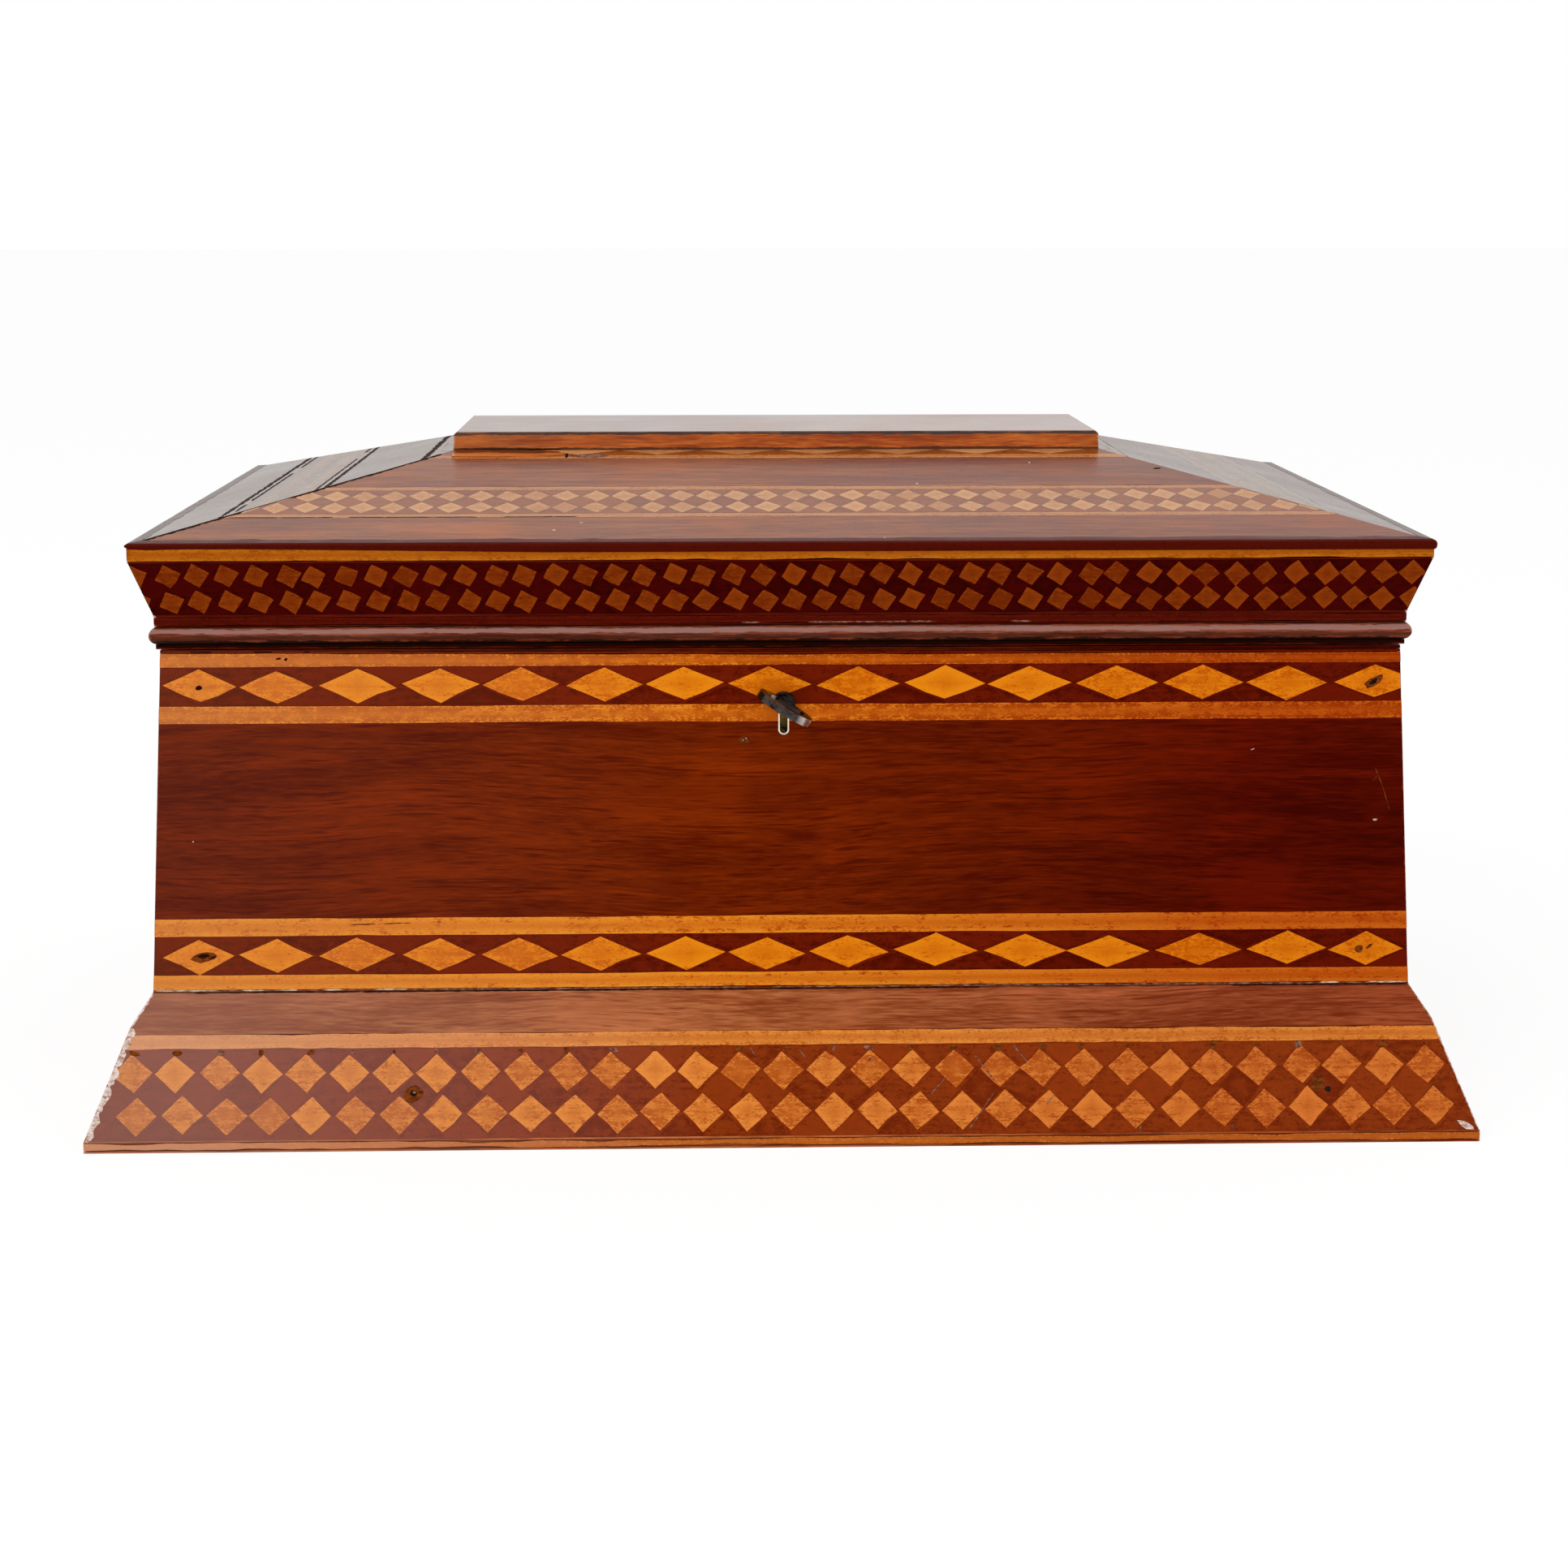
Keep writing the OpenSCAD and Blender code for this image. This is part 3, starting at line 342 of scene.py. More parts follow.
def long_strip(veneers, face, span, rng, high, tone, wander=0.05, trim=None, low=DARK_SEAT):
    """A long strip of veneer with edges that wander a little and eased rims, mitred at its ends."""
    y0, y1 = span
    step = 5.0
    rim = 0.12
    inset = 0.06
    seam = 0.04
    count = max(4, int(2 * face.half(y0) / step))
    shift = rng.random() * GRAIN_REACH
    base = len(veneers.points)
    drift = [0.0, 0.0]
    for i in range(count + 1):
        t = i / count
        drift = [0.75 * d + rng.gauss(0, wander) for d in drift]
        ya = y0 + seam + abs(drift[0])
        yb = y1 - seam - abs(drift[1])
        lift = high + rng.gauss(0, 0.006)
        shade_here = tone + rng.gauss(0, 0.05)
        section = ((ya, low, 1.0), (ya, lift - 0.04, 1.0), (ya + rim, lift, 0.85), ((ya + yb) / 2, lift, 0.0),
                   (yb - rim, lift, 0.85), (yb, lift - 0.04, 1.0), (yb, low, 1.0))
        for y, out, edge in section:
            reach = face.half(y) - inset
            x = -reach + 2 * reach * t
            if trim is not None:
                y = trim(x, y)
            veneers.point(face.at(x, y, out), (x, y, shift), shade_here, edge)
    around = len(section)
    last = base + around * count
    for a in range(base, last, around):
        veneers.wall(a, a + around, around)
    veneers.polygons.append(tuple(base + k for k in range(around)))
    veneers.polygons.append(tuple(last + k for k in reversed(range(around))))


def band_ground(veneers, face, span, rng):
    """The plain veneer between and behind the cut tiles of a band."""
    y0, y1 = span
    reach = face.half(y0) + 5
    outline = [(-reach, y0), (reach, y0), (reach, y1), (-reach, y1)]
    veneers.piece(face, outline, GROUND_SEAT, -0.02, 0.0, 0.45, rng, 0.2)


def lozenge(x, y, wide, tall, rng, wobble, turn=0.0):
    """A hand-cut lozenge: its corners and the middles of its edges are each a little off their place."""
    corners = ((-wide / 2, 0.0), (-wide / 4, -tall / 4), (0.0, -tall / 2), (wide / 4, -tall / 4),
               (wide / 2, 0.0), (wide / 4, tall / 4), (0.0, tall / 2), (-wide / 4, tall / 4))
    outline = []
    for i, (dx, dy) in enumerate(corners):
        stray = wobble * (0.45 if i % 2 else 1.0)
        dx += rng.gauss(0, stray)
        dy += rng.gauss(0, stray)
        outline.append(swung(x, y, dx, dy, turn))
    return outline


def patch(veneers, face, mark, rng, high):
    """A small ragged patch lying on a face: a plug, a stain, a fleck of wax or a chip."""
    x, y, wide, tall, degrees = mark
    corners = []
    for i in range(10):
        angle = math.tau * i / 10
        reach = 0.5 + rng.uniform(-0.09, 0.09)
        dx = wide * reach * math.cos(angle)
        dy = tall * reach * math.sin(angle)
        corners.append(swung(x, y, dx, dy, math.radians(degrees)))
    veneers.piece(face, corners, MARK_SEAT, high, 0.0, 0.5, rng)


def ragged_line(veneers, face, ends, wide, rng, high, gaps=0.0, length=7.0):
    """A broken line of old wax, dirt or open seam from one end to the other, of uneven width."""
    x0, y0, x1, y1 = ends
    total = math.dist((x0, y0), (x1, y1))
    ux = (x1 - x0) / total
    uy = (y1 - y0) / total
    place = 0.0
    while place < total:
        size = min(total - place, length * rng.uniform(0.4, 1.6))
        if rng.random() >= gaps:
            count = max(2, int(size / 0.9))
            low_side = []
            high_side = []
            for i in range(count + 1):
                at = place + size * i / count
                taper = 0.25 if i in (0, count) else 1.0
                a = wide / 2 * taper * rng.uniform(0.45, 1.2)
                b = wide / 2 * taper * rng.uniform(0.45, 1.2)
                x = x0 + ux * at
                y = y0 + uy * at
                low_side.append((x + uy * a, y - ux * a))
                high_side.append((x - uy * b, y + ux * b))
            veneers.piece(face, low_side + high_side[::-1], MARK_SEAT, high, 0.0, 0.5, rng)
        place += size


def srgb(text):
    """Linear colour of an sRGB hex value."""
    channels = [int(text[i:i + 2], 16) / 255 for i in (1, 3, 5)]
    return tuple(c / 12.92 if c <= 0.04045 else ((c + 0.055) / 1.055) ** 2.4 for c in channels) + (1.0,)


def tones(middle, *shares):
    """Darker and lighter tones of a colour. Under old shellac they turn redder as they darken."""
    made = []
    for share in shares:
        powers = (share, share ** 2, share ** 3) if share < 1 else (share,) * 3
        made.append(tuple(min(0.95, c * power) for c, power in zip(middle, powers)) + (1.0,))
    return made


def add(tree, kind, *inputs, give=0, stops=(), **settings):
    """Adds one node with its settings; inputs by order, or by name in one dict, as values or as links."""
    node = tree.nodes.new("ShaderNode" + kind)
    for key, value in settings.items():
        setattr(node, key, value)
    named = inputs[0] if inputs and isinstance(inputs[0], dict) else dict(enumerate(inputs))
    for key, value in named.items():
        if isinstance(value, bpy.types.NodeSocket):
            tree.links.new(value, node.inputs[key])
        else:
            node.inputs[key].default_value = value
    for i, (place, tint) in enumerate(stops):
        stop = node.color_ramp.elements[i] if i < 2 else node.color_ramp.elements.new(place)
        stop.position = place
        stop.color = tint
    return node.outputs[give] if node.outputs else node


def new_material(name):
    material = bpy.data.materials.new(name)
    material.use_nodes = True
    material.node_tree.nodes.clear()
    return material, material.node_tree


def along_grain(along, length, width):
    """Scale of a grain pattern from its real length and width in mm."""
    if along == "x":
        return (1 / length, 1 / width, 1 / width)
    return (1 / width, 1 / length, 1 / width)


def patterns(tree, place, layers, shift=(0, 0, 0)):
    """One uneven pattern for each layer, given as its scale, fine detail, roughness and bends."""
    made = []
    for scale, detail, rough, bends in layers:
        at = add(tree, "VectorMath", place, scale, shift, operation="MULTIPLY_ADD")
        made.append(add(tree, "TexNoise", {"Vector": at, "Scale": 1.0, "Detail": detail, "Roughness": rough,
                                           "Distortion": bends}))
    return made


def laid_over(tree, tint, pattern, start, full, most, over, curve="LINEAR", blend="MIX"):
    """The tint under a second colour, from none where the pattern reads start to its most at full."""
    share = add(tree, "MapRange", {"Value": pattern, 1: start, 2: full, 4: most}, interpolation_type=curve)
    return add(tree, "Mix", {0: share, 6: tint, 7: over}, give=2, data_type="RGBA", blend_type=blend)


def reflection_and_depth_across(tree, tint, bloom, deepen):
    """The tint along the box: a painted reflection near the left end, redder and deeper from the middle on.
    """
    if not bloom and not deepen:
        return tint
    place = add(tree, "TexCoord", give="Object")
    across = add(tree, "SeparateXYZ", place)
    if deepen:
        tint = laid_over(tree, tint, across, -0.02, 0.11, deepen, srgb("#c46c60"), blend="MULTIPLY")
    # Painted reflection: near the left end the tint is mixed towards the given bloom colour
    if bloom:
        tint = laid_over(tree, tint, across, -0.02, -0.15, bloom[0], srgb(bloom[1]))
    return tint


def paint_end_reflection(tree, tint, end_reflection):
    """The tint, turned to a grey painted reflection on the sloping faces at the two ends."""
    if not end_reflection:
        return tint
    # Painted reflection: faces turned towards either end are painted grey
    facing = add(tree, "TexCoord", give="Normal")
    facing = add(tree, "SeparateXYZ", facing)
    facing = add(tree, "Math", facing, operation="ABSOLUTE")
    return laid_over(tree, tint, facing, 0.08, 0.16, 0.8, srgb(end_reflection))


def surfaced(material, tint, rough, relief, strength, depth, optics):
    """Ends a material with its relief, whose depth is in metres, its shader and its output."""
    tree = material.node_tree
    normal = add(tree, "Bump", {"Height": relief, "Strength": strength, "Distance": depth})
    shader = add(tree, "BsdfPrincipled", {"Base Color": tint, "Roughness": rough, "Normal": normal, **optics})
    add(tree, "OutputMaterial", shader)
    return material


def polished_mahogany(name, along, colour, gloss, level, seat=0.0, coat=0.0, worn=None, lines=(), drift=0.0,
                      warm="#ffc08a", end_reflection=None, bloom=None, deepen=0.0):
    """French-polished mahogany: long dark and orange streaks under shellac, brighter where the figure turns
    to the light, with thin dark dashes for pores. Corners are rubbed pale, and at named heights it has lines
    of dirt, painted shade, a painted highlight and a painted reflection."""
    material, tree = new_material(name)
    deepest, deep, middle, light, dash = tones(colour, 0.5, 0.75, 1.0, 1.6, 0.5)
    place = add(tree, "TexCoord", give="Object")
    place = add(tree, "VectorMath", place, (1000, 1000, 1000), operation="MULTIPLY")
    parts = add(tree, "SeparateXYZ", place).node.outputs
    # The grain bends a few mm over a hand's width
    bend = add(tree, "VectorMath", place, (1 / 75, 1 / 75, 1 / 40), (seat, seat, 0), operation="MULTIPLY_ADD")
    bend = add(tree, "TexNoise", {"Vector": bend, "Scale": 1.0, "Detail": 1.0}, give="Color")
    grain = add(tree, "VectorMath", bend, (7, 7, 7), place, operation="MULTIPLY_ADD")
    # Figure, streaks, fine grain, pores as dashes 0.7 mm high, the finest that the render shows, and
    # patches the size of a thumb where the figure turns towards the light
    layers = ((along_grain(along, 95, 11), 3.0, 0.5, 0.5),
              (along_grain(along, 38, 2.2), 3.0, 0.6, 0.0),
              (along_grain(along, 6, 0.5), 2.0, 0.6, 0.0),
              (along_grain(along, 17, 0.7), 2.0, 0.5, 0.0),
              ((1 / 34, 1 / 34, 1 / 22), 3.0, 0.6, 0.0))
    figure, streak, fine, pores, turned = patterns(tree, grain, layers, (seat, seat * 1.7, seat * 0.3))
    depth = add(tree, "Math", parts[0], drift, operation="MULTIPLY")
    for layer in (streak, figure, fine):
        depth = add(tree, "Math", layer, 0.6, depth, operation="MULTIPLY_ADD")
    depth = add(tree, "Math", depth, 0.19, operation="SUBTRACT")
    tint = add(tree, "ValToRGB", depth, stops=((0.48, deepest), (0.62, deep), (0.74, middle), (0.96, light)))
    tint = laid_over(tree, tint, turned, 0.5, 0.7, 0.4, light, "SMOOTHSTEP")
    tint = laid_over(tree, tint, turned, 0.44, 0.3, 0.3, deepest, "SMOOTHSTEP")
    tint = laid_over(tree, tint, pores, 0.56, 0.68, 0.75, dash, "SMOOTHSTEP")
    tint = paint_end_reflection(tree, tint, end_reflection)
    tint = reflection_and_depth_across(tree, tint, bloom, deepen)
    # Rubbed corners, and lines of dirt, painted shade, painted highlight and painted reflection:
    # distance from their middle, how far they reach, and their colour
    rubs = []
    if worn:
        width, bare = worn
        across = add(tree, "Math", parts[0], operation="ABSOLUTE")
        across = add(tree, "Math", across, CORE, operation="SUBTRACT")
        deep_in = add(tree, "Math", parts[1], operation="ABSOLUTE")
        corner = add(tree, "Math", across, deep_in, operation="SUBTRACT")
        rubs.append((corner, 4.4 * width, -1.5 * width, -0.05, 0.2, 0.8, bare))
    for height, width, line, strength in lines:
        off = add(tree, "Math", parts[2], height, operation="SUBTRACT")
        rubs.append((off, 2.6 * width, -0.3 * width, -0.1, 0.12, strength, line))
    [ragged] = patterns(tree, place, [((0.16, 0.16, 0.9), 3.0, 0.7, 0.0)])
    for off, swing, least, start, full, most, over in rubs:
        gap = add(tree, "Math", off, operation="ABSOLUTE")
        reach = add(tree, "Math", ragged, swing, least, operation="MULTIPLY_ADD")
        reach = add(tree, "Math", reach, gap, operation="SUBTRACT")
        tint = laid_over(tree, tint, reach, start, full, most, over)
    rough = add(tree, "Math", turned, 0.2, gloss - 0.12, operation="MULTIPLY_ADD")
    rough = add(tree, "Math", fine, 0.12, rough, operation="MULTIPLY_ADD")
    swell = add(tree, "Math", streak, 0.3, turned, operation="MULTIPLY_ADD")
    return surfaced(material, tint, rough, swell, 0.2, 0.0003,
                    {"IOR": SHELLAC_IOR, "Specular IOR Level": level, "Specular Tint": srgb(warm),
                     "Coat Weight": coat, "Coat Roughness": 0.2, "Coat IOR": SHELLAC_IOR})


def cut_veneer(name, colour, gloss, level, spread=1.0, length=15.0, rim_share=1.12, heart_share=0.8,
               warm="#ffc08a", end_reflection=None, bloom=None, deepen=0.0):
    """Sawn veneer under shellac: each piece has its own tone, fine streaks, blotches where the polish sank in
    deeper towards its middle, and a paler or darker rim where the polish is rubbed or the glue has crept."""
    material, tree = new_material(name)
    deep, middle, pale = tones(colour, 1 - 0.28 * spread, 1.0, 1 + 0.22 * spread)
    heart, rim, speck = tones(colour, heart_share, rim_share, 0.45)
    lay = add(tree, "Attribute", give="Vector", attribute_name="lay")
    tone = add(tree, "Attribute", give="Fac", attribute_name="tone")
    edge = add(tree, "Attribute", give="Fac", attribute_name="edge")
    layers = (((1 / length, 1 / 0.9, 1), 3.0, 0.6, 0.0),
              ((1 / 2.6, 1 / 1.9, 1), 4.0, 0.65, 0.0),
              ((1 / 0.8, 1 / 0.35, 1), 2.0, 0.6, 0.0))
    streak, blotch, grit = patterns(tree, lay, layers)
    depth = add(tree, "Math", tone, 0.7, -1.33, operation="MULTIPLY_ADD")
    for layer, weight in ((streak, 0.8), (blotch, 1.2), (grit, 1.0)):
        depth = add(tree, "Math", layer, weight, depth, operation="MULTIPLY_ADD")
    tint = add(tree, "ValToRGB", depth, stops=((0.3, deep), (0.52, middle), (0.75, pale)))
    inner = add(tree, "Math", edge, -1.0, 1.0, operation="MULTIPLY_ADD")
    inner = add(tree, "Math", inner, blotch, operation="MULTIPLY")
    outer = add(tree, "Math", edge, grit, operation="MULTIPLY")
    tint = laid_over(tree, tint, inner, 0.12, 0.5, 0.75, heart)
    tint = laid_over(tree, tint, outer, 0.36, 0.56, 0.6, rim)
    tint = laid_over(tree, tint, grit, 0.33, 0.24, 0.5, speck)
    tint = paint_end_reflection(tree, tint, end_reflection)
    tint = reflection_and_depth_across(tree, tint, bloom, deepen)
    rough = add(tree, "Math", blotch, 0.2, gloss - 0.1, operation="MULTIPLY_ADD")
    swell = add(tree, "Math", streak, 0.5, blotch, operation="MULTIPLY_ADD")
    return surfaced(material, tint, rough, swell, 0.2, 0.0002,
                    {"IOR": SHELLAC_IOR, "Specular IOR Level": level, "Specular Tint": srgb(warm)})


def old_filler(name, dark, pale, share):
    """Beeswax, glue and dirt pressed into seams, chips and nail holes: matt, uneven, with grey bloom."""
    material, tree = new_material(name)
    place = add(tree, "TexCoord", give="Object")
    [bloom] = patterns(tree, place, [((700, 700, 1400), 4.0, 0.65, 0.0)])
    tint = add(tree, "ValToRGB", bloom, stops=((share - 0.1, srgb(dark)), (share + 0.12, srgb(pale))))
    return surfaced(material, tint, 0.7, bloom, 0.4, 0.0001, {"IOR": WAX_IOR, "Specular IOR Level": 0.05})


def handled_metal(name, bright, tarnish, gloss, patch_mm, amount, rubbed=None):
    """Filed or rolled metal, handled for years: bright where it is rubbed, dark and rougher in patches. Where
    asked, its undersides are painted near white: a painted highlight."""
    material, tree = new_material(name)
    place = add(tree, "TexCoord", give="Object")
    # File marks drawn 0.3 mm apart, the finest that a close view shows
    spots, marks = patterns(tree, place, (((1000 / patch_mm,) * 3, 4.0, 0.6, 0.0),
                                          ((700, 3300, 3300), 2.0, 0.6, 0.0)))
    dark = add(tree, "MapRange", {"Value": spots, 1: 0.4, 2: 0.62, 4: amount})
    tint = add(tree, "Mix", {0: dark, 6: srgb(bright), 7: srgb(tarnish)}, give=2, data_type="RGBA")
    # Painted highlight: faces turned downwards are painted near white
    if rubbed:
        facing = add(tree, "TexCoord", give="Normal")
        facing = add(tree, "SeparateXYZ", facing, give=2)
        tint = laid_over(tree, tint, facing, -0.15, -0.45, 0.95, srgb(rubbed))
    rough = add(tree, "Math", dark, 0.3, gloss, operation="MULTIPLY_ADD")
    rough = add(tree, "Math", marks, 0.1, rough, operation="MULTIPLY_ADD")
    return surfaced(material, tint, rough, marks, 0.25, 0.00006, {"Metallic": 1.0})


def lining_paper(name, pale, deep, spot):
    """Laid lining paper, pasted in and aged: matt and warm grey, foxed with small brown spots."""
    material, tree = new_material(name)
    place = add(tree, "TexCoord", give="Object")
    # Clouds of age, spots of 3 mm, and laid lines 1.2 mm apart
    age, foxed, laid = patterns(tree, place, (((25, 25, 25), 4.0, 0.6, 0.0), ((330, 330, 330), 3.0, 0.6, 0.0),
                                              ((60, 830, 830), 2.0, 0.6, 0.0)))
    tint = add(tree, "ValToRGB", age, stops=((0.35, srgb(deep)), (0.62, srgb(pale))))
    tint = laid_over(tree, tint, foxed, 0.62, 0.72, 0.5, srgb(spot))
    return surfaced(material, tint, 0.9, laid, 0.3, 0.0001, {"IOR": WAX_IOR, "Specular IOR Level": 0.2})


def planed_deal(name, pale, line):
    """Planed deal without polish: pale, matt, with straight brown growth lines about 3 mm apart."""
    material, tree = new_material(name)
    place = add(tree, "TexCoord", give="Object")
    rings, fibre = patterns(tree, place, (((11, 330, 330), 3.0, 0.5, 0.3), ((60, 1600, 1600), 2.0, 0.5, 0.0)))
    tint = add(tree, "ValToRGB", rings, stops=((0.42, srgb(line)), (0.55, srgb(pale))))
    return surfaced(material, tint, 0.75, fibre, 0.3, 0.0001,
                    {"IOR": SHELLAC_IOR, "Specular IOR Level": 0.3})


def white_card(settings):
    """Matt white card for the floor: it reads as white to the camera and keeps the object's soft shadow."""
    material, tree = new_material("white_card_matt")
    fibre = add(tree, "TexCoord", give="Object")
    fibre = add(tree, "TexNoise", {"Vector": fibre, "Scale": 900.0, "Detail": 2.0})
    normal = add(tree, "Bump", {"Height": fibre, "Strength": 0.05, "Distance": 0.0001})
    card = add(tree, "BsdfDiffuse", {"Color": srgb("#f3f3f3"), "Normal": normal})
    glow = add(tree, "Emission", {"Color": (1, 1, 1, 1), "Strength": settings.floor_white})
    share = add(tree, "Math", seen(tree), 1.0 - settings.floor_shadow, operation="MULTIPLY")
    both = add(tree, "MixShader", share, card, glow)
    add(tree, "OutputMaterial", both)
    return material


def seen(tree):
    """1 for rays from the camera, off gloss or through glass, so that each sees the white room."""
    rays = add(tree, "LightPath").node.outputs
    shown = add(tree, "Math", rays["Is Camera Ray"], rays["Is Glossy Ray"])
    return add(tree, "Math", shown, rays["Is Transmission Ray"], use_clamp=True)


def colour(name, description, value):
    """A colour that the user may change, from its sRGB hex value."""
    return bpy.props.FloatVectorProperty(name=name, description=description, size=3, subtype="COLOR",
                                         default=srgb(value)[:3])


def size(name, description, value, most):
    """A length that the user may change."""
    return bpy.props.FloatProperty(name=name, description=description, default=value, min=0.0, max=most,
                                   unit="LENGTH")


class InlaySettings(bpy.types.PropertyGroup):
    wobble: size("Cutting error", "How far a cut corner strays", 0.00015, 0.0006)
    proud: size("Standing proud", "How far light veneers stand above the boards", 0.00002, 0.0002)
    spread: bpy.props.FloatProperty(name="Tone spread", description="How much pieces differ in tone",
                                    default=0.17, min=0.0, max=0.5, subtype="FACTOR")
    seed: bpy.props.IntProperty(name="Seed", description="Start of the cutting errors and marks", default=11)
    light_body: colour("Light, body", "Light veneer of the body", "#f28812")
    string_body: colour("Strings, body", "Light strings of the body", "#f08a22")
    string_plinth: colour("Strings, plinth", "Light strings of the plinth", "#e88e3a")
    light_plinth: colour("Light, plinth", "Light veneer of the plinth", "#e68838")
    light_lid: colour("Light, lid side", "Light veneer of the lid's side", "#8c3a08")
    light_slope: colour("Light, slope", "Light veneer of the slopes", "#d89a60")
    amber: colour("Amber string", "String along the eave", "#be6a14")
    dull: colour("Dull string", "Strings of the slopes", "#cc8c52")
    dark_body: colour("Dark, body", "Dark veneer of the body", "#6e1a04")
    dark_plinth: colour("Dark, plinth", "Dark veneer of the plinth", "#88320a")
    dark_lid: colour("Dark, lid side", "Dark veneer of the lid's side", "#420302")
    dark_slope: colour("Dark, slope", "Dark veneer of the slopes", "#954c14")
    nosing: colour("Nosing", "End of the slope veneer along the eave", "#5a1006")


class BoardSettings(bpy.types.PropertyGroup):
    wear: size("Corner wear", "Width of the rubbed line on the corners", 0.00045, 0.002)
    ease: size("Eased arris", "Rounding of the boards' sharp edges", 0.00015, 0.001)
    body: colour("Body", "Middle tone of the body's mahogany", "#742402")
    plinth: colour("Plinth", "Middle tone of the plinth's mahogany", "#b0663c")
    lid: colour("Lid side", "Middle tone of the lid side's mahogany", "#5a1608")
    bead: colour("Bead", "Middle tone of the beads' mahogany", "#84402a")
    slope: colour("Slope", "Middle tone of the slopes' mahogany", "#954c14")
    plate: colour("Plate", "Middle tone of the top plate's mahogany", "#cc6c20")
    bare: colour("Bare wood", "Wood on rubbed corners", "#d8b090")


class StageSettings(bpy.types.PropertyGroup):
    key_power: bpy.props.FloatProperty(name="Key light", description="Power of the large lamp", default=12.0,
                                       min=0.0, subtype="POWER")
    fill_power: bpy.props.FloatProperty(name="Fill light", description="Power of the front lamp", default=5.0,
                                        min=0.0, subtype="POWER")
    room: bpy.props.FloatProperty(name="Room light", description="Strength of the light all round",
                                  default=0.55, min=0.0)
    floor_shadow: bpy.props.FloatProperty(name="Floor shadow", description="Share of the floor in shadow",
                                          default=0.2, min=0.0, max=1.0, subtype="FACTOR")
    floor_white: bpy.props.FloatProperty(name="Floor white", description="Strength of the floor's own white",
                                         default=1.1, min=0.0)
    lens: bpy.props.FloatProperty(name="Lens", description="Focal length of the camera in mm", default=65.61,
                                  min=20.0)


PALETTE = {}


